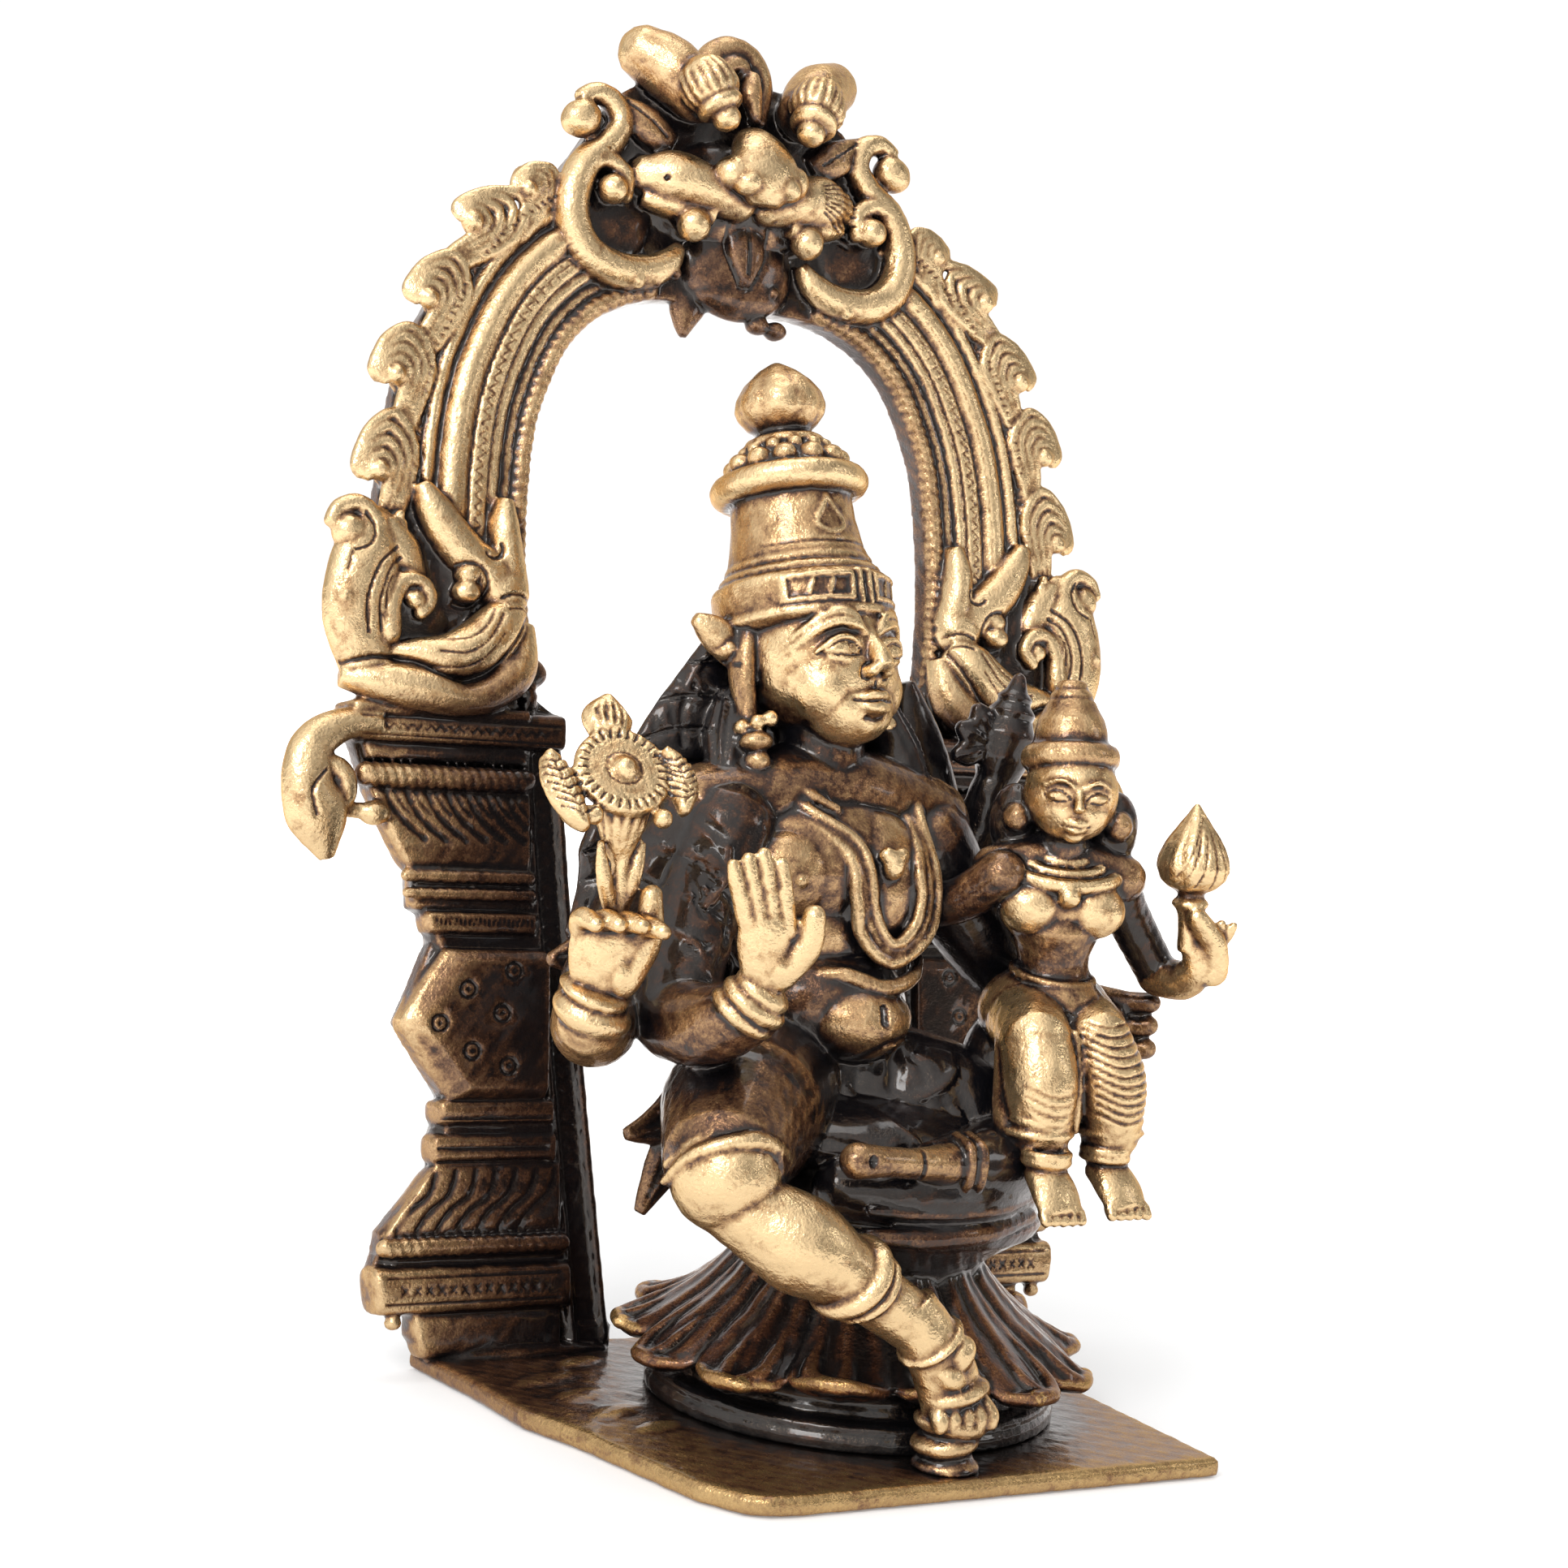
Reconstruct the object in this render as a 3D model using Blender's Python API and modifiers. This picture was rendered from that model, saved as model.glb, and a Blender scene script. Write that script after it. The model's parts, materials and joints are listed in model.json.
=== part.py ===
"""Lakshmi Narayana: a small cast brass group of Vishnu seated on a lotus with Lakshmi on his left thigh,
in front of a prabhavali, the arched frame that rises from two pillars behind a seated deity.

Three solids: the base plate, the prabhavali arch and the deity group with its lotus seat.
Metres, +Z up, the front faces -Y. The origin is on the underside of the plate, below the middle of the lotus.
"""

import math

import bmesh
import bpy
from mathutils import Euler, Matrix, Vector

# Driving sizes in metres and degrees
PLATE_THICK = 0.0016
PLATE_FRONT_MARGIN = 0.0005
PLATE_SIDE_MARGIN = 0.0004
PLATE_REAR_MARGIN = 0.0008
PLATE_CORNER = 0.0040
PLATE_EDGE_ROUND = 0.0004
REST_GAP = 0.0003
GROUP_HEIGHT = 0.0806
ARCH_HEIGHT = 0.1124
ARCH_LEAN = 10.0
ARCH_SLAB = 0.0019
ARCH_INSET = 0.0003
SEAT_OFFSET = 0.0020

# The forms below are drawn in units, which are millimetres at these reference heights
GROUP_UNITS = 80.6
ARCH_UNITS = 112.4
SEAT_RADIUS = 16.2
TOES = (-0.8, -18.4)
TOE_PAD_RADIUS = 2.9
FOOT_INNER = 11.2
FOOT_OUTER = 27.4
PETALS = 13

GROUP_SCALE = GROUP_HEIGHT / GROUP_UNITS
ARCH_SCALE = ARCH_HEIGHT / ARCH_UNITS
ARCH_FOOT_Y = SEAT_RADIUS * GROUP_SCALE - ARCH_INSET
STAND_Z = PLATE_THICK + REST_GAP

# How fine the wax is before it is cast, and how many facets each casting keeps
WAX_GRAIN = 0.00042
GROUP_FACETS = 5600
ARCH_FACETS = 3700

BRASS = (0.62, 0.43, 0.20, 1.0)
BROWN = (0.30, 0.17, 0.09, 1.0)


def material(name, colour, roughness):
    made = bpy.data.materials.new(name)
    made.use_nodes = True
    shader = made.node_tree.nodes["Principled BSDF"]
    shader.inputs["Base Color"].default_value = colour
    shader.inputs["Roughness"].default_value = roughness
    shader.inputs["Metallic"].default_value = 1.0
    return made


def evaluated_mesh(obj):
    """The mesh of an object as its modifiers leave it. The object is removed."""
    bpy.context.scene.collection.objects.link(obj)
    graph = bpy.context.evaluated_depsgraph_get()
    mesh = bpy.data.meshes.new_from_object(obj.evaluated_get(graph))
    bpy.data.objects.remove(obj)
    return mesh


def smooth_path(points, radii, steps):
    """Points and radii along a smooth curve through the given ones, steps to each span."""
    points = [Vector(p) for p in points]
    last = len(points) - 1
    path = []
    sizes = []
    for i in range(last):
        before = points[max(i - 1, 0)]
        a = points[i]
        b = points[i + 1]
        after = points[min(i + 2, last)]
        for k in range(steps if i < last - 1 else steps + 1):
            t = k / steps
            path.append(
                0.5 * (2 * a + (b - before) * t + (2 * before - 5 * a + 4 * b - after) * t ** 2
                       + (3 * a - before - 3 * b + after) * t ** 3)
            )
            sizes.append([lerp(r[i], r[i + 1], t * t * (3 - 2 * t)) for r in radii])
    return path, sizes


class Wax:
    """Closed forms pressed together like a sculptor's wax. Its frame turns its units into metres."""

    def __init__(self, frame):
        self.frame = frame
        self.points = []
        self.faces = []

    def loft(self, rings):
        """A closed skin over rings that all have as many points, capped at both ends."""
        start = len(self.points)
        sides = len(rings[0])
        for ring in rings:
            self.points.extend(self.frame @ Vector(p) for p in ring)
        for i in range(len(rings) - 1):
            for k in range(sides):
                a = start + i * sides + k
                b = start + i * sides + (k + 1) % sides
                self.faces.append((a, b, b + sides, a + sides))
        self.faces.append(range(start + sides - 1, start - 1, -1))
        self.faces.append(range(len(self.points) - sides, len(self.points)))

    def ball(self, at, size, turn=(0, 0, 0)):
        """An ellipsoid with half-axes size, turned by three angles in degrees."""
        size = (size,) * 3 if isinstance(size, (int, float)) else size
        angles = Euler([math.radians(a) for a in turn])
        place = Matrix.LocRotScale(Vector(at), angles, Vector(size))
        rings = []
        for i in range(9):
            tilt = math.pi * (i + 0.15) / 8.3
            rings.append([
                place @ Vector((math.sin(tilt) * math.cos(a), math.sin(tilt) * math.sin(a), math.cos(tilt)))
                for a in [math.tau * k / 12 for k in range(12)]
            ])
        self.loft(rings)

    def blade(self, path, widths, depths, face, steps=3, sides=10):
        """A loft of ellipses along path, as wide as widths and as deep as depths, its broad side to face."""
        path, sizes = smooth_path(path, (widths, depths), steps)
        face = Vector(face)
        rings = []
        for i, at in enumerate(path):
            along = (path[min(i + 1, len(path) - 1)] - path[max(i - 1, 0)]).normalized()
            across = along.cross(face).normalized()
            out = across.cross(along).normalized()
            wide, deep = sizes[i]
            rings.append([
                at + across * (wide * math.cos(a)) + out * (deep * math.sin(a))
                for a in [math.tau * k / sides for k in range(sides)]
            ])
        self.loft(rings)

    def tube(self, points, radii):
        """A round limb, cord or roll through the points, with its own radius at each and round ends."""
        radii = [radii] * len(points) if isinstance(radii, (int, float)) else radii
        path, sizes = smooth_path(points, (radii,), 4)
        out = (path[1] - path[0]).orthogonal().normalized()
        rings = []
        for i, at in enumerate(path):
            along = (path[min(i + 1, len(path) - 1)] - path[max(i - 1, 0)]).normalized()
            out = (out - along * out.dot(along)).normalized()
            across = along.cross(out)
            reach = [(0, 1)]
            if i == 0:
                reach = [(-0.95, 0.3), (-0.6, 0.8), (0, 1)]
            if i == len(path) - 1:
                reach = [(0, 1), (0.6, 0.8), (0.95, 0.3)]
            for ahead, wide in reach:
                radius = sizes[i][0]
                rings.append([
                    at + along * (radius * ahead)
                    + (across * math.cos(a) + out * math.sin(a)) * (radius * wide)
                    for a in [math.tau * k / 10 for k in range(10)]
                ])
        self.loft(rings)

    def turned(self, profile, at, tilt=(0, 0, 0)):
        """A turned form: (radius, height) pairs from the top down, about an axis through at."""
        angles = Euler([math.radians(a) for a in tilt])
        place = Matrix.LocRotScale(Vector(at), angles, Vector((1, 1, 1)))
        self.loft([
            [place @ Vector((max(r, 0.01) * math.cos(a), max(r, 0.01) * math.sin(a), z))
             for a in [-math.tau * k / 24 for k in range(24)]]
            for r, z in profile
        ])

    def slab(self, outline, front, back):
        """A flat plate in the X-Z plane with that outline, from y = front to y = back."""
        self.loft([[(x, y, z) for x, z in outline] for y in (front, back)])

    def cast(self, name, facets, surface):
        """Fuses the forms into one skin, softens it as wax does, and keeps that many facets."""
        mesh = bpy.data.meshes.new(name)
        mesh.from_pydata(self.points, [], [tuple(face) for face in self.faces])
        obj = bpy.data.objects.new(name, mesh)
        fuse = obj.modifiers.new("fuse", "REMESH")
        fuse.mode = "VOXEL"
        fuse.voxel_size = WAX_GRAIN
        soften = obj.modifiers.new("soften", "SMOOTH")
        soften.factor = 0.5
        soften.iterations = 2
        skin = evaluated_mesh(obj)
        faces = len(skin.polygons)
        obj = bpy.data.objects.new(name, skin)
        reduce = obj.modifiers.new("facets", "DECIMATE")
        reduce.ratio = min(1.0, facets / (2 * faces))
        reduce.use_collapse_triangulate = True
        mesh = evaluated_mesh(obj)
        mesh.materials.append(surface)
        obj = bpy.data.objects.new(name, mesh)
        bpy.context.scene.collection.objects.link(obj)
        return obj


def lerp(a, b, t):
    return a + (b - a) * t


def arc(centre, radius, start, end, count):
    """Points on an arc in the X-Z plane, as (x, z), angles in degrees from +X towards +Z."""
    turn = [math.radians(lerp(start, end, i / (count - 1))) for i in range(count)]
    return [(centre[0] + radius * math.cos(a), centre[1] + radius * math.sin(a)) for a in turn]


# The arch, in its own plane: x across, z up along the arch, y = 0 at its slab's face and -y to the front

INNER_EDGE = [(11.3, 0.5), (12.2, 8), (13.6, 20.5), (15, 33.7), (15.9, 44), (16.3, 51)]
INNER_ARCH = [
    (18.6, 52.6), (19.4, 59), (19.7, 65), (19.5, 70), (19, 74.6), (18, 78),
    (16.3, 81.7), (14, 84.4), (11.2, 86.2), (8, 87.3), (4.5, 87.6), (0, 87.2),
]
OUTER_ARCH = [
    (0, 108), (7, 107), (12, 104), (15, 99.5), (19.6, 93.8), (24.4, 90.2), (28.4, 84.4),
    (31, 78), (32.2, 71), (33, 66), (35, 62.5), (36.2, 58.5), (35.4, 55), (33.5, 52),
]
PILLAR_OUTER = [
    (34.6, 51.2), (34.4, 48.2), (33, 44.2), (29.4, 38.4), (29.2, 35.2), (28, 34.6), (27.4, 32.4),
    (30.2, 26), (26.2, 20), (27, 17), (27, 14.6), (31.4, 9.6), (31.6, 8), (32, 7), (31.8, 3.3),
    (28.8, 3.1), (28.8, 1.4), (28.0, 0.5),
]
# Each leaf of the flame border: its root on the band, its shoulder, its outer turn and its curl
FLAMES = [
    ((30.4, 68.6), (31.8, 74.8), (34.0, 72.8), (33.1, 69.8)),
    ((30.0, 75.2), (30.4, 82.0), (32.3, 80.2), (31.8, 77.7)),
    ((28.2, 82.6), (26.5, 88.4), (29.2, 87.0), (29.1, 84.3)),
    ((24.8, 88.8), (20.5, 94.0), (23.8, 93.0), (25.3, 91.2)),
]


def on_front(points, depth):
    """Points (x, z) of the arch's plane as points in space, depth units in front of its slab."""
    return [(x, -depth, z) for x, z in points]


def along_inner(offset):
    """A line that follows the inner edge of the arch, offset units outside it, from the mouth to the crown."""
    line = []
    points = [p for p in INNER_ARCH if 67 < p[1] and p[0] > 7]
    centre = Vector((0, 68))
    for x, z in points:
        out = (Vector((x, z)) - centre).normalized()
        line.append((x + out.x * offset, z + out.y * offset))
    return line


def arch_half(wax):
    """One pillar, its sea monster and its half of the band and flames. The frame mirrors it."""
    slab = ARCH_SLAB / ARCH_SCALE
    outline = INNER_EDGE + INNER_ARCH + OUTER_ARCH[:] + PILLAR_OUTER
    wax.slab(outline, 0, slab)

    # pillar mouldings from the capital down: top, bottom, outer end at each, how far they stand
    mouldings = [
        (51.2, 48.2, 35.2, 34.8, 1.7), (47.9, 46.8, 33.8, 33.8, 0.8), (44.4, 38.4, 32.8, 29.8, 0.9),
        (38.2, 36.9, 29.8, 29.8, 1.3), (36.4, 35.2, 29.4, 29.4, 1.3), (34.8, 33.2, 28.0, 27.6, 1.0),
        (19.8, 18.1, 27.0, 27.0, 1.4), (17.2, 15.0, 27.4, 27.4, 1.1), (14.5, 9.4, 27.0, 31.6, 1.0),
        (6.8, 3.2, 32.4, 32.0, 1.6),
    ]
    for top, bottom, outer_top, outer_bottom, stand in mouldings:
        inner = inner_at((top + bottom) / 2) + 3.6
        outline = [(inner, top), (outer_top, top), (outer_bottom, bottom), (inner, bottom)]
        wax.slab(outline, -stand, slab)
    for z, outer in ((45.5, 33.2), (8.3, 31.4)):
        inner = inner_at(z) + 3.9
        wax.tube([(inner, -1.1, z), (outer, -0.9, z)], 1.05)
    inner = inner_at(26) + 3.6
    wax.slab([(inner, 31.8), (26.0, 31.8), (28.6, 26.0), (26.0, 20.2), (inner, 20.2)], -1.9, slab)
    wax.slab([(inner, 31.8), (26.4, 31.8), (30.2, 26.0), (26.4, 20.2), (inner, 20.2)], -0.9, slab)
    for edge in (0.5, 3.3):
        strip = [(x + edge, z) for x, z in INNER_EDGE]
        wax.tube(on_front(strip, 0.2), 0.45)

    # the leaf that droops from the capital's corner, and the bead that ties it to the bell
    wax.blade(
        [(33, -1, 49.6), (36.6, -1.0, 49.4), (38.9, -1.2, 46.9), (38.5, -1.4, 43.6), (36.8, -1.2, 40.2)],
        [1.2, 1.2, 1.6, 2.5, 0.8], [1.2, 1.3, 1.5, 1.4, 0.8], (0, -1, 0),
    )
    wax.tube([(36, -0.8, 42.8), (32.2, -0.8, 42.4)], [0.7, 1.0])
    monster_half(wax)
    band_half(wax)
    crown_scrolls_half(wax)


def inner_at(z):
    """Where the pillar's inner edge is at height z."""
    for (x0, z0), (x1, z1) in zip(INNER_EDGE, INNER_EDGE[1:]):
        if z <= z1:
            return lerp(x0, x1, (z - z0) / (z1 - z0))
    return INNER_EDGE[-1][0]


def monster_half(wax):
    """The makara, a sea monster on the capital, whose open mouth holds the band."""
    toward = (0, -1, 0)
    # the lower jaw
    wax.blade(
        [(36.2, -0.6, 54.8), (33, -1.4, 53.9), (28.8, -1.9, 53.6), (24.4, -1.8, 53.2), (21, -1.4, 54.6), (19.9, -1.0, 58.4)],
        [0.8, 1.7, 1.9, 1.4, 1.6, 0.9], [0.8, 2.0, 2.4, 2.3, 1.8, 0.9], toward,
    )
    # the lip that rolls back over it
    wax.blade(
        [(31.4, -1.8, 57.4), (28.6, -2.3, 56.6), (25.8, -2.5, 56.5), (23.6, -2.4, 58.2), (22, -2.0, 60), (20.6, -1.5, 60)],
        [0.7, 1.2, 1.5, 1.5, 1.2, 0.8], [0.9, 1.5, 1.8, 1.8, 1.4, 0.9], toward,
    )
    # the great feather of the tail, with its scroll
    wax.blade(
        [(34.6, -1.0, 54.8), (36.0, -1.3, 58.0), (35.6, -1.4, 61.4), (34.2, -1.2, 65), (32.6, -0.8, 66.6)],
        [1.6, 2.4, 2.2, 2.0, 0.8], [1.2, 1.8, 1.9, 1.6, 0.8], toward,
    )
    wax.tube(on_front([(33.6, 64), (33.8, 66.2), (35.6, 67.1)], 1.6), [1.0, 0.9, 0.8])
    wax.ball((36.2, -1.4, 64.9), 1.5)
    wax.blade(on_front([(32.6, 65.4), (31, 63), (29.9, 60.6)], 0.9), [1.0, 1.5, 1.0], [1.1, 1.2, 1.0], toward)
    wax.tube(on_front([(32.4, 56.6), (31.9, 59.4), (30.6, 60.6), (29.4, 59.6), (30.2, 58.6)], 1.9), [1.0, 0.8, 0.7, 0.7, 0.8])
    wax.ball((25.9, -2.0, 61.0), (1.3, 1.3, 1.8))
    # the two horns of the mouth that the band rises from
    wax.blade(
        on_front([(29.3, 69.3), (28.1, 67.0), (26.2, 65.2), (24.2, 63.9), (22, 62.2)], 1.8),
        [0.4, 1.1, 1.4, 1.6, 1.8], [0.8, 1.4, 1.7, 1.8, 1.6], toward,
    )
    wax.blade(
        on_front([(21.8, 68.2), (21.7, 66), (21.5, 64), (20.9, 62)], 1.5),
        [0.5, 1.1, 1.3, 1.2], [0.8, 1.4, 1.7, 1.4], toward,
    )


def band_half(wax):
    """The ribbed band of the arch with its rope edge, and the flame leaves outside it."""
    wax.tube(on_front(along_inner(0.9), 0.1), 0.9)
    wax.tube(on_front(along_inner(2.8), 0.1), 0.5)
    line = along_inner(6.4)
    wax.blade(on_front(line, 0.4), [2.2] * len(line), [1.4] * len(line), (0, -1, 0))
    wax.tube(on_front(along_inner(9.9), 0.3), 0.7)
    for root, shoulder, turn, curl in FLAMES:
        middle = (lerp(root[0], shoulder[0], 0.55) + 0.4, lerp(root[1], shoulder[1], 0.55) + 0.4)
        wax.blade(
            on_front([root, middle, shoulder], 0.3), [1.0, 2.3, 1.0], [0.6, 1.2, 1.0], (0, -1, 0)
        )
        wax.tube(on_front([shoulder, turn, curl], 0.7), [0.9, 1.1, 1.1])


def crown_scrolls_half(wax):
    """The C-scroll beside the lion mask, with the curl inside it and the curl on top."""
    wax.tube(
        on_front([(15.2, 102.6), (14.6, 103.9), (12.6, 103), (12.6, 101), (15.2, 99)], 0.4),
        [0.8, 0.8, 0.9, 0.9, 1.2],
    )
    wax.ball((15.4, -0.4, 101.7), (1.6, 1.4, 1.4))
    wax.tube(
        on_front([(14.0, 99.2), (16.4, 97.2), (16.5, 94), (15.3, 91.2), (12.6, 89.6), (9.4, 89.6), (7.2, 91.6)], 0.7),
        [1.0, 1.2, 1.35, 1.4, 1.4, 1.2, 0.8],
    )
    wax.tube(on_front([(16.2, 97.6), (14.4, 98.4), (12.2, 97.6), (12.0, 95.8), (13.2, 95.5)], 0.8), [0.9, 0.8, 0.9, 0.9, 1.0])


def lion_mask(wax):
    """The kirtimukha, the lion face at the top of the arch."""
    toward = (0, -1, 0)
    wax.ball((0, 0.4, 99.5), (12.5, 1.8, 7.5))
    wax.ball((0, 0.4, 91.5), (6.5, 1.6, 4.6))
    for side in (-1, 1):
        # the bulging eye, the cap on it and its bead
        wax.blade(
            [(side * 10.0, 0.6, 109.8), (side * 7.8, -0.6, 108.6), (side * 5.6, -2.4, 106.9)],
            [1.9, 2.8, 2.6], [1.8, 2.6, 2.4], toward,
        )
        wax.ball((side * 5.0, -3.1, 106.0), (2.5, 2.2, 2.5))
        wax.ball((side * 3.8, -4.6, 104.3), 1.25)
        # cheek, tusk and ear
        wax.blade(
            [(side * 9.4, -1.0, 97.5), (side * 7.2, -2.0, 97.6), (side * 4.2, -3.2, 97.4), (side * 1.2, -4.0, 97.2)],
            [1.2, 2.3, 1.8, 1.2], [1.1, 1.9, 1.7, 1.2], toward,
        )
        wax.tube([(side * 5.0, -1.6, 96), (side * 5.5, -2.0, 94.2)], [1.2, 1.35])
        wax.blade(
            [(side * 7.4, -0.8, 101.0), (side * 9.6, -1.0, 102.2), (side * 11.8, -0.8, 103.6)],
            [0.9, 1.1, 0.5], [0.9, 1.0, 0.6], toward,
        )
        wax.ball((side * 2.2, -5.0, 99.4), (1.7, 1.5, 1.3))
    # forelock, brow and snout
    wax.blade(
        [(0, 1.0, 111.6), (0, 0.0, 109.4), (0, -1.4, 106.4), (0, -3.2, 103), (0, -4.6, 100.4)],
        [2.4, 2.7, 1.6, 1.9, 2.6], [1.3, 1.6, 1.6, 2.0, 1.9], toward,
    )
    wax.ball((0, -5.6, 99.6), (1.9, 1.6, 1.3))
    # tongue and chin, and the drips of metal under the edge
    wax.blade(
        [(0, -1.0, 95.4), (0, -1.3, 92.6), (0, -1.0, 89.8)],
        [1.6, 2.1, 0.8], [1.2, 1.4, 0.9], toward,
    )
    wax.ball((0, -0.2, 88.6), (4.2, 1.6, 1.9))
    wax.blade([(-4.2, 0.6, 88), (-4.6, 0.6, 86.4), (-4.9, 0.4, 84.6)], [2.0, 1.4, 0.4], [0.8, 0.8, 0.4], toward)
    for x, z in ((2.2, 86.3), (4.0, 86.0)):
        wax.ball((x, 0, z), 0.95)


def arch():
    stand = Matrix.Translation((0, ARCH_FOOT_Y, STAND_Z))
    lean = Matrix.Rotation(math.radians(-ARCH_LEAN), 4, "X")
    frame = stand @ lean @ Matrix.Scale(ARCH_SCALE, 4)
    wax = Wax(frame @ Matrix.Scale(-1, 4, (1, 0, 0)))
    arch_half(wax)
    wax.frame = frame
    arch_half(wax)
    lion_mask(wax)
    # the feet below the leaning slab stand upright and end flat on the plate
    wax.frame = stand @ Matrix.Scale(ARCH_SCALE, 4)
    slab = ARCH_SLAB / ARCH_SCALE
    for side in (-1, 1):
        inner = side * FOOT_INNER
        outer = side * FOOT_OUTER
        wax.slab([(inner, 0), (inner, 1.6), (outer, 1.6), (outer, 0)], 0, slab)
    return wax.cast("prabhavali_arch", ARCH_FACETS, material("patinated_brass", BROWN, 0.42))


# The deity group, in units of its own: the ring stands at z = 0 and the crown's tip is at z = 80.6

def lotus_seat(wax):
    """Stepped ring, drooping petals, waist and seat."""
    wax.turned(
        [(0, 14), (9, 14), (9.4, 10), (11.4, 7.0), (14.0, 4.9), (15.4, 4.2), (14.4, 3.4), (14.8, 1.7),
         (SEAT_RADIUS - 0.2, 1.4), (SEAT_RADIUS, 0), (0, 0)], (0, 0, 0),
    )
    wax.turned(
        [(0, 20.6), (11.0, 20.2), (13.0, 19.0), (13.8, 17.4), (13.4, 16.0), (14.0, 15.2), (13.6, 14.2),
         (11.4, 13.0), (9.4, 11.4), (8.8, 8), (0, 8)], (0, 0, 0),
    )
    for k in range(PETALS):
        angle = math.tau * (k + 0.5) / PETALS
        out = Vector((math.cos(angle), math.sin(angle), 0))
        side = Vector((-out.y, out.x, 0))
        droop = 0.7 * math.sin(3 * angle + 1)
        path = [(8.6, 11.4), (10.4, 8.6), (13.0, 6.0), (15.6, 4.3 + droop / 2), (18.2, 3.6 + droop)]
        path = [out * r + Vector((0, 0, z)) for r, z in path]
        wax.blade(path, [1.7, 2.4, 3.3, 3.2, 0.9], [1.1, 1.1, 1.2, 1.0, 0.7], out * 0.45 + Vector((0, 0, 1)))
        rib = [at + Vector((0, 0, 0.9)) for at in path[1:]]
        wax.tube(rib, [0.5, 0.6, 0.6, 0.3])
        wax.blade(
            [path[3] + side * 2.2, path[4] * 0.98 + side * 1.0 + Vector((0, 0, 0.3))],
            [1.0, 0.4], [0.8, 0.5], (0, 0, 1),
        )


def narayana_legs(wax):
    wax.ball((-3, 2.6, 24.5), (10.0, 7.6, 6.0))
    wax.ball((-1, -1, 21.6), (13.0, 10.5, 3.4))
    # the left leg is folded flat on the seat, sole outwards
    wax.tube([(0, 0, 24), (7.5, -4, 23), (12.4, -7.4, 20.8)], [6.0, 5.6, 4.4])
    wax.tube([(12.4, -8.2, 19.6), (6, -12.0, 19.6), (-1.4, -13.4, 20.2)], [4.2, 3.8, 2.6])
    wax.blade(
        [(-0.4, -13.6, 20.6), (-4, -14.6, 21.4), (-7.6, -15.0, 22.2)],
        [2.5, 2.1, 2.0], [2.2, 1.6, 1.3], (-0.3, -1, 0.3),
    )
    for x in (-3.0, -0.8, 0.6):
        wax.tube([(x, -15.4, 19.6), (x + 0.1, -16.2, 21.4), (x + 0.2, -14.2, 23.4)], 0.65)
    # the hem of the long garment hangs over the seat's edge
    wax.tube([(-6, -13.4, 15.8), (-2, -13.8, 15.6), (4, -13.6, 15.8), (10, -10.6, 16.2)], [0.8, 1.0, 1.0, 0.9])
    # the right leg hangs down and stands on the toes
    wax.tube([(-8, 1, 24.6), (-13.4, -6, 23.6), (-17.0, -11.6, 21.6)], [6.6, 6.2, 4.9])
    wax.ball((-17.8, -12.6, 20.0), (4.2, 4.0, 4.3))
    wax.tube([(-21.2, -13.6, 22.6), (-17.4, -15.4, 23.4), (-13.4, -13.6, 20.4)], [0.7, 0.9, 0.7])
    wax.tube(
        [(-18.0, -13.4, 19), (-15.4, -15.0, 16.6), (-12, -16.6, 14.2), (-8.2, -17.6, 12.2), (-4.6, -18.0, 10.6)],
        [3.7, 4.0, 3.9, 3.1, 2.4],
    )
    wax.ball((-7.6, -17.8, 12.6), (1.4, 3.5, 3.5), (0, 38, 12))
    wax.blade(
        [(-5.2, -18.0, 11.6), (-3.4, -18.6, 9.4), (-1.9, -19.0, 6.8), (TOES[0] - 0.2, TOES[1] - 1.2, 4.4)],
        [2.3, 2.4, 2.6, 2.4], [2.2, 2.2, 1.9, 1.2], (-0.2, -1, 0.4),
    )
    wax.ball((-4.0, -18.2, 10.2), (1.3, 2.9, 2.9), (0, 34, 10))
    wax.ball((-2.4, -18.9, 7.9), (1.2, 2.4, 2.7), (0, 34, 10))
    for k in range(4):
        x = TOES[0] + 1.5 * (k - 1.5)
        wax.ball((x, TOES[1] - 2.0, 3.9 - 0.1 * k), (0.75, 0.9, 0.75))
    wax.turned(
        [(0, 3.8), (2.2, 3.6), (TOE_PAD_RADIUS, 2.7), (2.6, 1.8), (1.9, 1.2), (2.3, 0.5), (2.5, 0), (0, 0)],
        (TOES[0], TOES[1], 0),
    )


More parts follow.
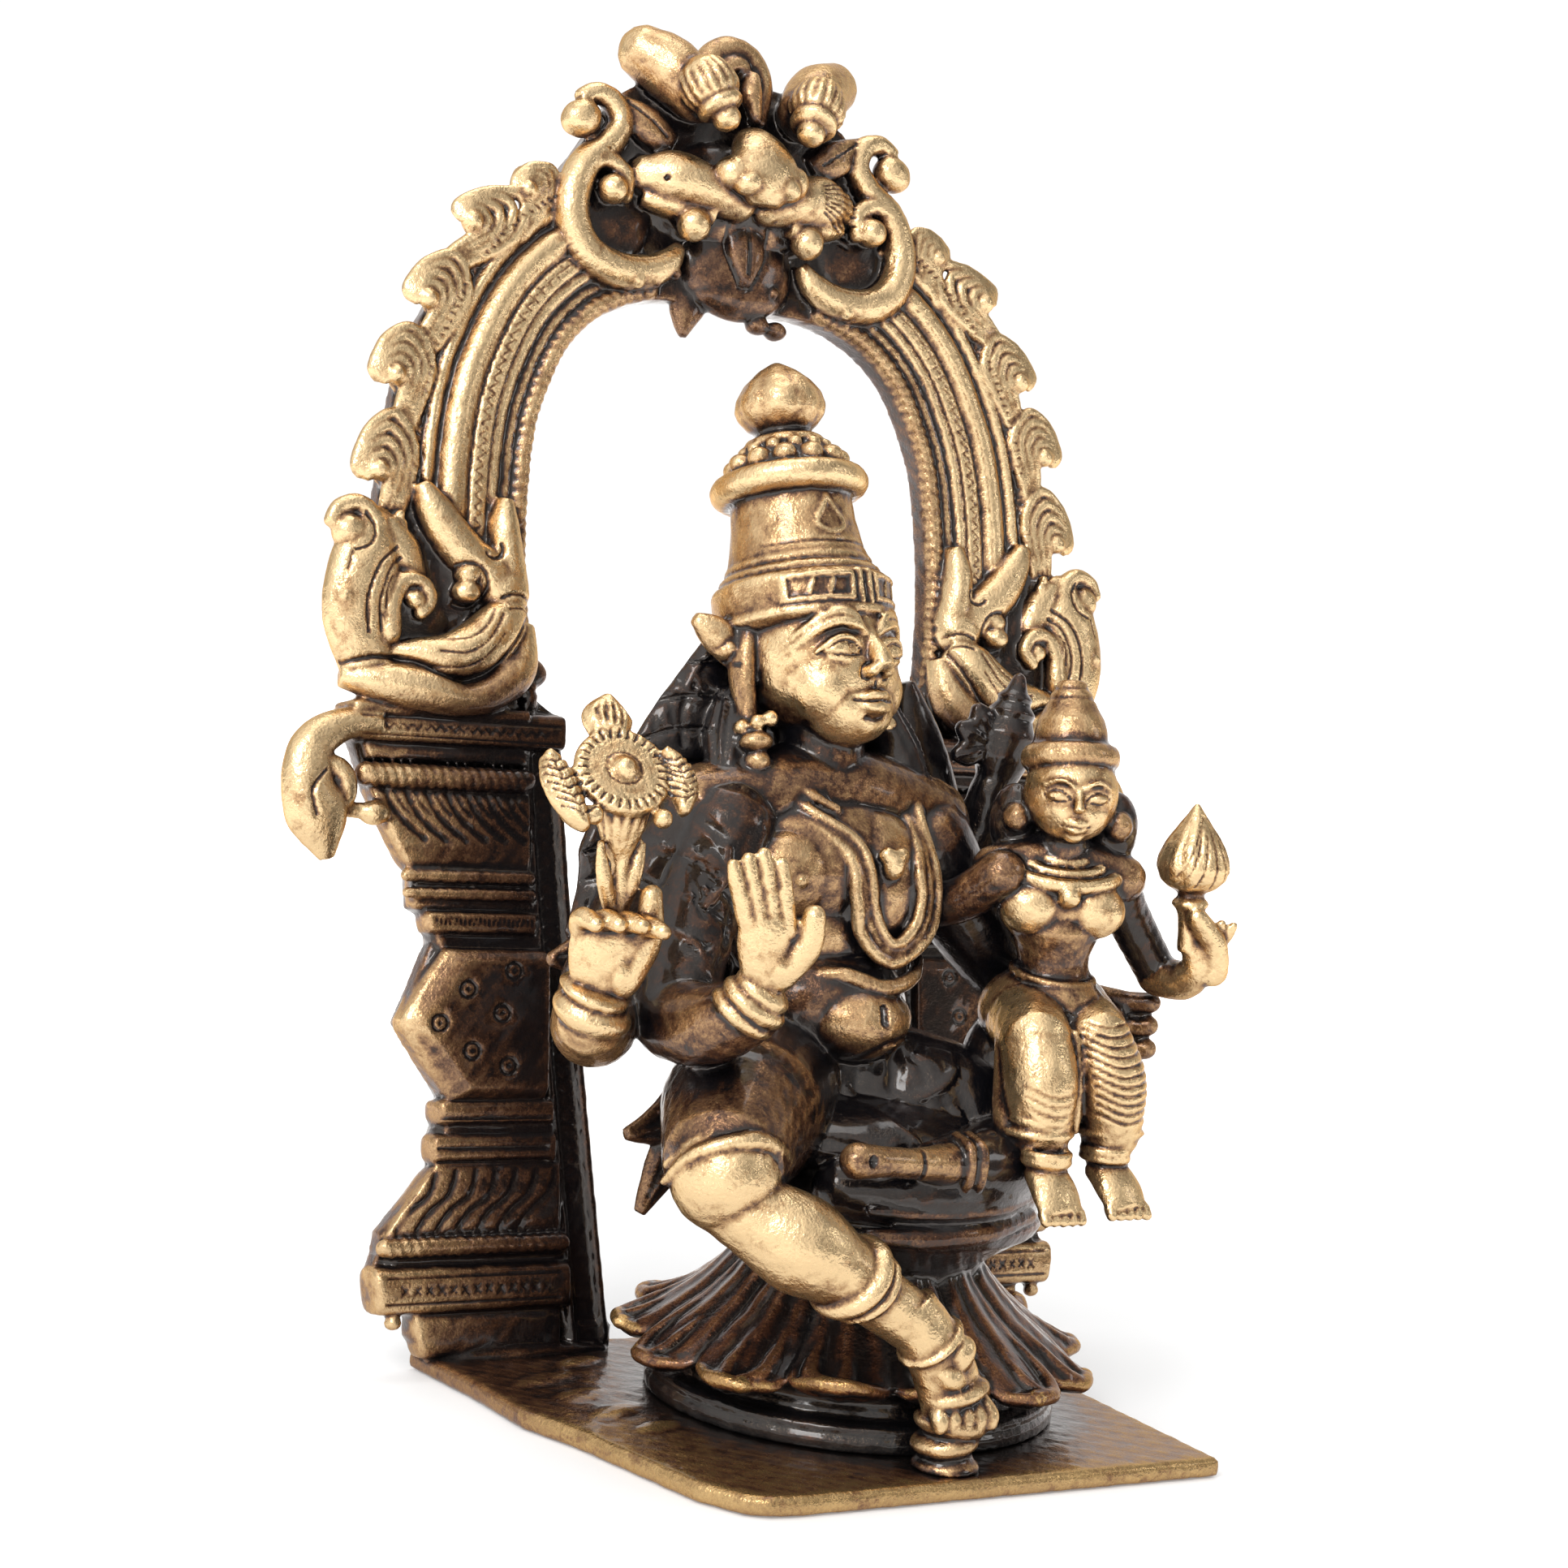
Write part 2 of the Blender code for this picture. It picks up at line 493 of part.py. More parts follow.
def narayana_body(wax):
    x = -3.8
    wax.ball((x, 0.4, 31.0), (7.0, 7.0, 5.2))
    wax.ball((x + 0.2, -2.2, 31.0), (5.6, 6.0, 4.2))
    wax.ball((x, 2.0, 36.4), (7.2, 5.6, 5.6))
    wax.ball((x, 2.2, 41.2), (9.4, 6.2, 6.2))
    for side in (-1, 1):
        wax.ball((x + side * 4.4, -1.6, 41.0), (4.2, 3.2, 3.8))
    wax.tube([(x - 10, 3.4, 45.0), (x, 3.4, 46.6), (x + 10, 3.4, 45.0)], [3.8, 4.4, 3.8])
    wax.tube([(x, 3.4, 46), (x, 3.4, 50), (x, 4.2, 54)], [4.0, 3.4, 3.6])
    # collar, long double necklace with its drop, and the fold below the chest
    wax.tube(
        [(x - 8.4, 1.6, 47.4), (x - 4.6, -2.8, 45.4), (x, -4.4, 43.6), (x + 4.6, -2.8, 45.4), (x + 8.0, 1.6, 47.4)], 0.8
    )
    for spread, drop, thick in ((4.3, 0, 0.75), (2.9, 1.7, 0.6)):
        wax.tube(
            [(x - spread + 0.2, -3.6, 44.4), (x - spread, -4.8, 40.4), (x - spread * 0.7, -5.2, 37.4 + drop),
             (x, -5.4, 36.2 + drop), (x + spread * 0.7, -5.2, 37.4 + drop), (x + spread, -4.8, 40.4),
             (x + spread - 0.2, -3.6, 44.4)], thick
        )
    wax.ball((x, -5.2, 42.4), (1.2, 1.1, 1.6))
    wax.tube(
        [(x - 7.0, 0.8, 36.0), (x - 4.6, -3.6, 35.0), (x, -5.0, 34.6), (x + 4.6, -3.6, 35.0), (x + 7.0, 0.8, 36.0)], 0.8
    )


def narayana_head(wax):
    """Head and tall crown, drawn upright about the top of the neck and then tipped back."""
    upright = wax.frame
    neck = Vector((-4, 3.4, 51))
    tip = Euler((math.radians(-16), math.radians(-4), 0)).to_matrix().to_4x4()
    wax.frame = upright @ Matrix.Translation(neck) @ tip
    wax.ball((0, -0.6, 6.6), (6.2, 6.4, 6.6))
    wax.ball((0, -2.2, 4.2), (5.3, 4.9, 4.4))
    wax.ball((0, -4.4, 1.8), (2.4, 2.2, 1.8))
    wax.tube([(0, -6.4, 8.6), (0, -7.9, 5.7)], [0.6, 0.95])
    for side in (-1, 1):
        wax.ball((side * 2.8, -5.5, 7.3), (1.9, 1.2, 0.9))
        wax.tube(
            [(side * 0.9, -6.7, 9.0), (side * 2.8, -6.5, 10.2), (side * 5.0, -4.6, 8.8)], [0.35, 0.45, 0.35]
        )
        wax.ball((side * 0.9, -7.2, 5.6), (0.7, 0.8, 0.6))
        wax.blade(
            [(side * 6.2, 0.4, 8.4), (side * 6.9, 0.8, 5.6), (side * 6.8, 0.8, 2.4), (side * 6.8, 0.6, -1.2)],
            [0.9, 1.3, 0.9, 0.9], [0.8, 0.9, 0.8, 0.9], (side, 0, 0),
        )
        wax.ball((side * 7.0, -0.2, 0.4), (1.5, 1.4, 1.0))
        wax.ball((side * 7.0, 0.2, -2.0), (1.1, 1.2, 1.6))
        wax.blade(
            [(side * 6.4, 1.4, 6.6), (side * 8.2, 2.0, 8.6), (side * 9.8, 2.4, 9.8)],
            [1.3, 1.4, 0.6], [1.0, 1.1, 0.5], (side * 0.5, -1, 0),
        )
    wax.tube([(-2.2, -6.5, 3.5), (0, -7.1, 3.3), (2.2, -6.5, 3.5)], [0.4, 0.65, 0.4])
    wax.tube([(-1.5, -6.4, 2.5), (0, -6.8, 2.2), (1.5, -6.4, 2.5)], [0.4, 0.65, 0.4])
    wax.turned(
        [(0, 31.0), (0.5, 30.6), (2.4, 29.2), (3.6, 27.6), (3.5, 26.0), (2.2, 24.6), (3.4, 24.0), (4.0, 23.4),
         (3.6, 22.7), (5.0, 22.2), (6.3, 21.4), (6.6, 20.3), (6.2, 19.3), (5.4, 19.0), (5.7, 15.8), (6.3, 13.4),
         (6.2, 12.6), (7.3, 12.0), (7.5, 10.6), (7.2, 9.4), (6.4, 8.8), (0, 6.0)], (0, 0.4, 0),
    )
    wax.frame = upright
    # hair behind the neck, and the mantle that spreads from it to the right elbow
    wax.blade(
        [(-4, 8.4, 58), (-4, 8.4, 52), (-4, 8.0, 46), (-4, 6.8, 38), (-4, 6.4, 28)],
        [5.5, 9.4, 12.0, 11.0, 9.4], [2.4, 2.4, 2.2, 2.4, 2.4], (0, 1, 0),
    )
    wax.blade(
        [(-11.4, 7.6, 58.6), (-12.6, 7.6, 52), (-14.8, 7.4, 45), (-18.4, 6.8, 38), (-22.6, 6.4, 34.6)],
        [1.0, 4.0, 5.4, 5.0, 0.8], [0.9, 1.3, 1.6, 1.6, 0.8], (0, 1, 0),
    )
    wax.blade([(6, 7.6, 56), (7.4, 7.4, 51), (9, 7.0, 45)], [0.8, 2.6, 3.4], [0.8, 1.3, 1.6], (0, 1, 0))
    for side in (-1, 1):
        wax.blade([(-4 + side * 6.4, 6.4, 54), (-4 + side * 7.6, 4.4, 50.4), (-4 + side * 8.6, 2.6, 48)],
                  [1.4, 2.0, 1.4], [1.6, 2.0, 1.3], (side, -1, 0))
    for spike in (
        [(-18, 6.0, 36), (-21, 6.0, 33.8), (-24.6, 6.0, 33)],
        [(-9, 6, 25), (-13.0, 5.8, 20.8), (-17.0, 5.4, 19.6)],
        [(-9, 6, 23), (-12.6, 5.8, 18.0), (-15.2, 5.4, 13.4)],
    ):
        wax.blade(spike, [2.4, 2.0, 0.5], [1.2, 1.0, 0.5], (0, 1, 0))


def hand(wax, wrist, middle, tips, thumb, across, palm=2.1, curl=(0, 0, 0)):
    """A hand: the palm from wrist to middle, four fingers to tips along across, and a thumb."""
    wrist = Vector(wrist)
    middle = Vector(middle)
    across = Vector(across)
    curl = Vector(curl)
    face = (middle - wrist).cross(across)
    wax.blade(
        [wrist, wrist.lerp(middle, 0.5), middle], [palm * 0.8, palm, palm * 1.02], [1.1, 1.2, 0.9], face
    )
    for k, length in enumerate((0.86, 1.0, 1.06, 0.9)):
        root = middle + across * (palm * (0.78 - 0.52 * k))
        end = root + (Vector(tips) - middle) * length + across * (0.3 * (1.5 - k))
        wax.tube([root, root.lerp(end, 0.6), end + curl], [0.66, 0.62, 0.5])
    root = wrist.lerp(middle, 0.3) - across * palm * 0.7
    wax.tube([root, root.lerp(Vector(thumb), 0.55) - across * 0.5, thumb], [1.1, 0.85, 0.6])


def narayana_arms(wax):
    # rear right arm, with the discus
    wax.tube([(-13.4, 3.6, 44.4), (-18.0, 3.4, 38), (-22.6, 0.8, 31.6)], [4.2, 3.7, 3.2])
    wax.tube([(-22.8, 0.4, 31), (-25.0, -3.4, 29.8), (-26.6, -6.2, 30.4)], [3.1, 3.2, 2.7])
    wax.ball((-26.9, -6.6, 31.6), (2.9, 2.9, 1.5), (20, 10, 0))
    hand(wax, (-26.9, -7.2, 32.4), (-26.9, -8.2, 38.0), (-26.9, -9.0, 39.4), (-23.2, -8.8, 39.6),
         (-0.95, 0.3, 0.1), 2.5, (0.8, -1.4, -0.4))
    wax.tube([(-25.8, -7.2, 38), (-25.8, -7.0, 42), (-25.9, -6.8, 45.4)], [0.9, 0.9, 1.7])
    disc = Matrix.Translation((-25.8, -6.6, 48.9)) @ Euler((math.radians(52), 0, math.radians(-6))).to_matrix().to_4x4()
    upright = wax.frame
    wax.frame = upright @ disc
    wax.turned([(0, 1.3), (0.8, 1.1), (1.2, 0.7), (2.8, 0.6), (3.6, 0.5), (3.7, -0.3), (3.3, -0.7), (0, -0.8)], (0, 0, 0))
    for angle in (75, 176, -6):
        out = Vector((math.cos(math.radians(angle)), math.sin(math.radians(angle)), 0))
        wax.blade([out * 3.0, out * 4.8, out * 6.4], [1.2, 1.7, 0.7], [0.8, 0.9, 0.5], (0, 0, 1))
    wax.frame = upright
    # front right arm, palm raised
    wax.tube([(-12.8, 1.4, 44), (-16.2, -0.8, 37), (-19.2, -4.8, 30.8)], [3.8, 3.4, 3.1])
    wax.tube([(-19.2, -5, 30.4), (-18.8, -9.6, 30.8), (-17.8, -13.4, 32.6)], [3.1, 3.0, 2.4])
    wax.ball((-17.7, -13.8, 33.2), (2.7, 2.5, 1.3), (25, 0, 0))
    hand(wax, (-17.6, -14.4, 33.8), (-17.9, -15.4, 38.8), (-18.4, -15.2, 43.8), (-13.4, -16.6, 39.6),
         (-0.96, 0.25, 0.1), 2.2)
    # rear left arm, with the conch, and the front left arm round the goddess
    wax.tube([(6, 4, 44.4), (10.4, 6.0, 39), (13.0, 5.4, 43.4), (13.4, 4.6, 48)], [4.0, 3.2, 2.5, 1.8])
    wax.blade([(13.4, 4.6, 47.4), (14.0, 4.4, 51), (14.6, 4.4, 54.4), (15.0, 4.6, 57.2)], [1.4, 2.3, 1.8, 0.6], [1.3, 2.1, 1.7, 0.6], (0, -1, 0))
    wax.blade([(12.4, 4.4, 50), (10.6, 4.4, 51.6), (9.8, 4.4, 54)], [1.4, 1.7, 0.7], [0.8, 0.9, 0.5], (0, -1, 0))
    wax.tube([(5.6, 1.8, 43.6), (10.6, 0.8, 36.6), (17.0, 0.2, 31.4), (22.2, -1.8, 30.4)], [3.8, 3.3, 2.7, 2.1])
    for k in range(4):
        z = 27.6 + 1.35 * k
        wax.tube([(21.2, -1.8, z + 0.4), (23.8, -3.0, z + 0.1), (25.2, -4.6, z)], [0.8, 0.7, 0.5])


def lakshmi(wax):
    x = 13.0
    y = -7.0
    # lap, legs and feet
    wax.ball((x, y + 0.8, 31.4), (5.6, 4.6, 3.9))
    wax.ball((x + 0.4, y + 2.4, 27.4), (6.2, 4.2, 5.2))
    for side, knee, hem, foot in (
        (-1, (9.6, -11.6, 30.2), (9.8, -13.0, 23.4), (10.2, -13.2, 20.8)),
        (1, (15.0, -11.6, 30.2), (17.6, -12.4, 23.2), (17.6, -12.6, 20.6)),
    ):
        middle = ((knee[0] + hem[0]) / 2, -12.8, 27.0)
        wax.tube([(x + side * 2.4, y, 31), knee], [3.2, 2.8])
        wax.tube([knee, middle, hem], [2.7, 2.9, 2.4])
        wax.ball((hem[0], hem[1] + 0.2, hem[2]), (3.0, 2.7, 0.9))
        wax.tube([hem, foot], [1.6, 1.4])
        wax.blade(
            [(foot[0], foot[1] + 0.4, foot[2]), (foot[0] + 0.3 + side * 0.3, foot[1] - 1.5, foot[2] - 1.5),
             (foot[0] + 0.6 + side * 0.5, foot[1] - 2.6, foot[2] - 3.0)],
            [1.6, 2.1, 2.2], [1.4, 1.1, 0.7], (0, -1, 1),
        )
    wax.blade([(12.4, -12.0, 31), (12.8, -12.6, 27), (13.6, -12.8, 23.6)], [1.2, 1.0, 0.4], [0.8, 0.8, 0.4], (0, -1, 0))
    wax.blade([(7.0, -8.6, 30), (6.4, -10.4, 26), (7.0, -11.2, 24)], [2.0, 1.9, 0.7], [0.9, 0.8, 0.5], (-1, -0.6, 0))
    wax.blade([(18.6, -8, 29.6), (20.2, -9.4, 26), (20.8, -10.2, 22.6)], [2.2, 2.2, 0.7], [0.9, 0.9, 0.5], (1, -0.4, 0))
    # body
    wax.tube([(x, y, 32.2), (x - 0.2, y, 35.4), (x - 0.3, y, 38)], [3.9, 2.7, 3.5])
    wax.ball((x, y - 1.0, 32.4), (3.9, 3.6, 2.6))
    wax.ball((x - 0.3, y, 40), (4.6, 3.3, 3.6))
    for side in (-1, 1):
        wax.ball((x - 0.3 + side * 2.5, y - 2.4, 39.8), (2.4, 2.3, 2.2))
    wax.tube([(x - 5.4, y + 0.4, 42.4), (x - 0.3, y + 0.6, 43.4), (x + 4.8, y + 0.4, 42.4)], [1.9, 2.3, 1.9])
    wax.tube([(x - 0.3, y, 43), (x - 0.3, y - 0.2, 46.6)], [2.0, 1.9])
    ring = [(x - 0.3 + 4.0 * math.cos(a), y + 0.6 + 3.9 * math.sin(a), 43.0 + 1.0 * math.sin(a))
            for a in [math.tau * k / 12 for k in range(13)]]
    wax.tube(ring, 0.6)
    wax.ball((x - 0.3, y - 3.5, 41.2), (1.1, 0.8, 0.9))
    # head and conical crown
    head = Vector((x - 0.4, y - 0.4, 48.8))
    wax.ball(head, (3.7, 3.8, 3.8))
    wax.ball(head + Vector((0, -1.2, -1.3)), (3.0, 2.7, 2.3))
    wax.tube([head + Vector((0, -3.5, 0.6)), head + Vector((0, -4.3, -0.6))], [0.35, 0.55])
    for side in (-1, 1):
        wax.ball(head + Vector((side * 4.0, 0.2, -1.8)), (1.1, 1.2, 1.2))
        wax.ball(head + Vector((side * 4.0, 2.0, -2.2)), (1.9, 2.0, 3.0))
    wax.turned(
        [(0, 9.4), (1.3, 9.3), (1.7, 8.8), (1.5, 8.3), (2.1, 7.9), (2.3, 7.4), (2.1, 7.0), (2.8, 5.6), (3.2, 4.2),
         (3.9, 3.9), (4.1, 3.0), (3.8, 2.2), (0, 0)], head + Vector((0, 0.3, 0)), (-9, -3, 0),
    )
    # right arm round the god's back, and left arm with the lotus bud
    wax.tube([(x - 5.6, y + 0.4, 42.2), (x - 7.4, y + 3.6, 39.6), (x - 9.4, y + 7, 39)], [1.9, 1.8, 1.8])
    wax.tube([(x + 5.0, y + 0.4, 42.2), (x + 8.2, y + 1.4, 38.4), (x + 11.0, y + 1.2, 34.6)], [1.9, 1.8, 1.7])
    wax.tube([(x + 11.0, y + 1.0, 34.4), (x + 11.6, y - 1.4, 34.4), (x + 11.6, y - 3.0, 35.4)], [1.7, 1.6, 1.4])
    hand(wax, (x + 11.7, y - 3.2, 34.8), (x + 11.9, y - 3.6, 38.0), (x + 11.9, y - 4.4, 39.4),
         (x + 10.2, y - 4.2, 39.8), (-0.9, 0.3, 0), 1.7)
    bud = (x + 10.4, y - 3.0, 38.6)
    wax.turned(
        [(0, 10.0), (0.5, 9.2), (1.8, 7.2), (2.8, 5.3), (3.0, 4.1), (2.3, 2.8), (1.1, 2.1), (1.4, 1.5), (1.0, 0.9),
         (0.8, -2), (0, -2)], bud, (0, -2, 0),
    )


def deity_group():
    frame = Matrix.Translation((0, 0, STAND_Z)) @ Matrix.Scale(GROUP_SCALE, 4)
    wax = Wax(frame @ Matrix.Translation((SEAT_OFFSET / GROUP_SCALE, 0, 0)))
    lotus_seat(wax)
    wax.frame = frame
    narayana_legs(wax)
    narayana_body(wax)
    narayana_head(wax)
    narayana_arms(wax)
    lakshmi(wax)
    return wax.cast("lakshmi_narayana", GROUP_FACETS, material("antique_brass", BRASS, 0.32))


def base_plate():
    """The cut plate that carries everything: wide behind, under the pillars, and narrower in front."""
    front = (TOES[1] - TOE_PAD_RADIUS) * GROUP_SCALE - PLATE_FRONT_MARGIN
    rear = ARCH_FOOT_Y + ARCH_SLAB / math.cos(math.radians(ARCH_LEAN)) + PLATE_REAR_MARGIN
    half_rear = FOOT_OUTER * ARCH_SCALE + PLATE_SIDE_MARGIN
    near = -(SEAT_RADIUS + 2.6) * GROUP_SCALE
    far = (SEAT_RADIUS + 6.2) * GROUP_SCALE
    outline = [
        (half_rear, rear), (-half_rear, rear), (-half_rear + 0.0014, rear * 0.5),
        (lerp(near, -half_rear, 0.78), rear * 0.08), (lerp(near, -half_rear, 0.56), front * 0.18),
        (near - PLATE_CORNER * 0.9, front * 0.46), (near - PLATE_CORNER * 0.5, front * 0.78),
        (near, front * 0.94), (near + PLATE_CORNER * 0.4, front * 0.985), (near + PLATE_CORNER, front),
        (far, front), (far, 0.1 * rear), (half_rear - 0.0010, rear * 0.6),
    ]
    curve = bpy.data.curves.new("plate", "CURVE")
    curve.dimensions = "2D"
    curve.fill_mode = "BOTH"
    curve.extrude = PLATE_THICK / 2
    spline = curve.splines.new("POLY")
    spline.points.add(len(outline) - 1)
    spline.use_cyclic_u = True
    for knot, (x, y) in zip(spline.points, outline):
        knot.co = (x, y, PLATE_THICK / 2, 1)
    mesh = evaluated_mesh(bpy.data.objects.new("plate", curve))
    welded = bmesh.new()
    welded.from_mesh(mesh)
    bmesh.ops.remove_doubles(welded, verts=welded.verts, dist=1e-6)
    welded.to_mesh(mesh)
    welded.free()
    obj = bpy.data.objects.new("base_plate", mesh)
    bpy.context.scene.collection.objects.link(obj)
    edge = obj.modifiers.new("edge", "BEVEL")
    edge.width = min(PLATE_EDGE_ROUND, PLATE_THICK * 0.4)
    edge.segments = 2
    edge.limit_method = "ANGLE"
    edge.angle_limit = math.radians(60)
    obj.data.materials.append(material("plate_brass", BROWN, 0.4))
    return obj


def main():
    for old in list(bpy.data.objects):
        bpy.data.objects.remove(old)
    group = bpy.data.collections.new("lakshmi_narayana_statue")
    bpy.context.scene.collection.children.link(group)
    for obj in (base_plate(), arch(), deity_group()):
        bpy.context.scene.collection.objects.unlink(obj)
        group.objects.link(obj)


main()
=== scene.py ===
"""Looks of the Lakshmi Narayana group: carved castings, antique brass, light and camera."""
import json
import math

import bpy
import numpy as np
from mathutils import Euler, Matrix, Vector
from mathutils.bvhtree import BVHTree
from mathutils.kdtree import KDTree

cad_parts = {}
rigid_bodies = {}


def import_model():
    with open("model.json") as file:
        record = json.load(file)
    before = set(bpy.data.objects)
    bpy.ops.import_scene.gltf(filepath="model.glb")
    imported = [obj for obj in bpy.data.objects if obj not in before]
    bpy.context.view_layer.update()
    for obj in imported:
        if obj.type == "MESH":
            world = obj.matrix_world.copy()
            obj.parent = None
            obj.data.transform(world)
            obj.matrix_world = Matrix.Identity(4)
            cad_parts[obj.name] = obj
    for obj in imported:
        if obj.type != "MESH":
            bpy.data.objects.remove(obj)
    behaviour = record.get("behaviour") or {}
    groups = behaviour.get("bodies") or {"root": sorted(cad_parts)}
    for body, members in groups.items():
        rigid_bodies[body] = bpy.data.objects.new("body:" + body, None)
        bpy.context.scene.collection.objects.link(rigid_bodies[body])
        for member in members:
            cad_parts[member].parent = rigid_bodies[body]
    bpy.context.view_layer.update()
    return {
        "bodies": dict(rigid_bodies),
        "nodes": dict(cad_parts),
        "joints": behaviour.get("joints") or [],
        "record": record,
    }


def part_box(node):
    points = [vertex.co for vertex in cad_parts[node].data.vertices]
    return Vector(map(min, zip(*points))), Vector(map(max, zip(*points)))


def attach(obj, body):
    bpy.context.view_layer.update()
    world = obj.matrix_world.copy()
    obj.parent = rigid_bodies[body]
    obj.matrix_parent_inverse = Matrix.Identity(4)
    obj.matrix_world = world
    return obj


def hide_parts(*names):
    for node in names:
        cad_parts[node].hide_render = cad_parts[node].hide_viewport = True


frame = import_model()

# Sizes shared with the CAD, in metres and degrees. The forms are drawn in units, millimetres at this size
UNIT = 0.001
PLATE_TOP = 0.0016
STAND_Z = 0.0019
SINK = 0.35
ARCH_FOOT_Y = 0.0159
ARCH_LEAN = 10.0
ARCH_SLAB = 1.9
SEAT_RADIUS = 16.2
SEAT_OFFSET = 2.0
TOES = (-0.8, -18.4)
PETALS = 13
LAKSHMI_AT = (13.0, -7.0)

# Grain of the wax, and how many triangles each casting keeps
GRAIN = 0.00019
TRIANGLES = 190000
CARVE_CELL = 0.07

# Shade in the recesses: how far a wall still shades a point, in metres, and how finely that is tried
SHUT_REACH = 0.012
SHUT_RAYS = 20
SHUT_POINTS = 24000
GOLDEN_ANGLE = 2.399963

# Patina of a form: 0 is black, 0.4 red brown, 0.7 bronze, 1 polished gold
BLACK, BROWN, BRONZE, GOLD = 0.06, 0.42, 0.67, 0.87


def lerp(a, b, t):
    return a + (b - a) * t


def curve(points, steps):
    """A smooth line through the points, as tuples, for points of any number of numbers."""
    last = len(points) - 1
    line = []
    for i in range(last):
        before, a, b, after = points[max(i - 1, 0)], points[i], points[i + 1], points[min(i + 2, last)]
        for k in range(steps if i < last - 1 else steps + 1):
            t = k / steps
            line.append(tuple(
                0.5 * (2 * q + (r - p) * t + (2 * p - 5 * q + 4 * r - s) * t ** 2
                       + (3 * q - p - 3 * r + s) * t ** 3)
                for p, q, r, s in zip(before, a, b, after)
            ))
    return line


def even(points, pitch):
    """Points spaced pitch apart along a line."""
    points = [Vector(p) for p in points]
    out = [points[0]]
    left = pitch
    for a, b in zip(points, points[1:]):
        length = (b - a).length
        at = left
        while at <= length and length > 0:
            out.append(a.lerp(b, at / length))
            at += pitch
        left = at - length
    return out


def turn(angles):
    return Euler([math.radians(a) for a in angles]).to_matrix().to_4x4()


def aim(at, direction):
    """A frame at that point whose own Z points that way."""
    return Matrix.Translation(Vector(at)) @ Vector(direction).to_track_quat("Z", "Y").to_matrix().to_4x4()


class Wax:
    """Closed forms pressed together like a sculptor's wax, with lines cut into them before the casting."""

    def __init__(self, frame):
        self.frame = frame
        self.tone = BRONZE
        self.points = []
        self.faces = []
        self.tones = []
        self.cuts = []

    def loft(self, rings):
        """A closed skin over rings that all have as many points, capped at both ends."""
        start = len(self.points)
        sides = len(rings[0])
        for ring in rings:
            self.points.extend(self.frame @ Vector(p) for p in ring)
        for i in range(len(rings) - 1):
            for k in range(sides):
                a = start + i * sides + k
                b = start + i * sides + (k + 1) % sides
                self.faces.append((a, b, b + sides, a + sides))
        self.faces.append(tuple(range(start + sides - 1, start - 1, -1)))
        self.faces.append(tuple(range(len(self.points) - sides, len(self.points))))
        self.tones.extend([self.tone] * (len(self.faces) - len(self.tones)))

    def ball(self, at, size, tilt=(0, 0, 0), fine=14):
        """An ellipsoid with half-axes size, turned by three angles in degrees."""
        size = (size,) * 3 if isinstance(size, (int, float)) else size
        place = Matrix.Translation(Vector(at)) @ turn(tilt) @ Matrix.Diagonal((*size, 1))
        rings = []
        for i in range(fine + 1):
            angle = math.pi * (i + 0.1) / (fine + 0.2)
            rings.append([
                place @ Vector((math.sin(angle) * math.cos(a), math.sin(angle) * math.sin(a),
                                math.cos(angle)))
                for a in [math.tau * k / (2 * fine) for k in range(2 * fine)]
            ])
        self.loft(rings)

    def blade(self, path, widths, depths, face, ribs=0, rib=0.0, sides=28, steps=8):
        """A loft of ellipses along path, its broad side to face, with long ribs across it if asked for."""
        packed = curve([(*p, w, d) for p, w, d in zip(path, widths, depths)], steps)
        points = [Vector(p[:3]) for p in packed]
        face = Vector(face)
        rings = []
        for i, at in enumerate(points):
            along = (points[min(i + 1, len(points) - 1)] - points[max(i - 1, 0)]).normalized()
            across = along.cross(face).normalized()
            out = across.cross(along).normalized()
            wide = max(packed[i][3], 0.05)
            deep = max(packed[i][4], 0.05)
            ring = []
            for k in range(sides):
                a = math.tau * k / sides
                lift = 1 + rib * math.cos(ribs * math.pi * math.cos(a)) * abs(math.sin(a)) if ribs else 1
                ring.append(at + across * (wide * math.cos(a)) + out * (deep * math.sin(a) * lift))
            rings.append(ring)
        self.loft(rings)

    def tube(self, points, radii, sides=18, steps=8, swell=None):
        """A round limb, cord or roll through the points, with its own radius at each and round ends."""
        radii = [radii] * len(points) if isinstance(radii, (int, float)) else radii
        packed = curve([(*p, r) for p, r in zip(points, radii)], steps)
        path = [Vector(p[:3]) for p in packed]
        out = (path[1] - path[0]).orthogonal().normalized()
        rings = []
        run = 0.0
        for i, at in enumerate(path):
            run += (at - path[i - 1]).length if i else 0.0
            along = (path[min(i + 1, len(path) - 1)] - path[max(i - 1, 0)]).normalized()
            out = (out - along * out.dot(along)).normalized()
            across = along.cross(out)
            reach = [(0, 1)]
            if i == 0:
                reach = [(-0.98, 0.2), (-0.8, 0.6), (-0.45, 0.9), (0, 1)]
            if i == len(path) - 1:
                reach = [(0, 1), (0.45, 0.9), (0.8, 0.6), (0.98, 0.2)]
            for ahead, wide in reach:
                radius = packed[i][3]
                ring = []
                for k in range(sides):
                    a = math.tau * k / sides
                    grow = swell(run, a) if swell else 1.0
                    ring.append(
                        at + along * (radius * ahead)
                        + (across * math.cos(a) + out * math.sin(a)) * (radius * wide * grow)
                    )
                rings.append(ring)
        self.loft(rings)

    def rope(self, points, radius, pitch=1.1, depth=0.16, strands=2):
        """A twisted cord."""
        line = even(curve(points, 12), 0.16)

        def twist(run, angle):
            return 1 + depth * math.cos(strands * (angle - math.tau * run / (pitch * strands)))

        self.tube(line, radius, sides=20, steps=1, swell=twist)

    def beads(self, points, radius, pitch):
        """A row of beads along a line."""
        for at in even(curve(points, 12), pitch):
            self.ball(at, radius, fine=5)

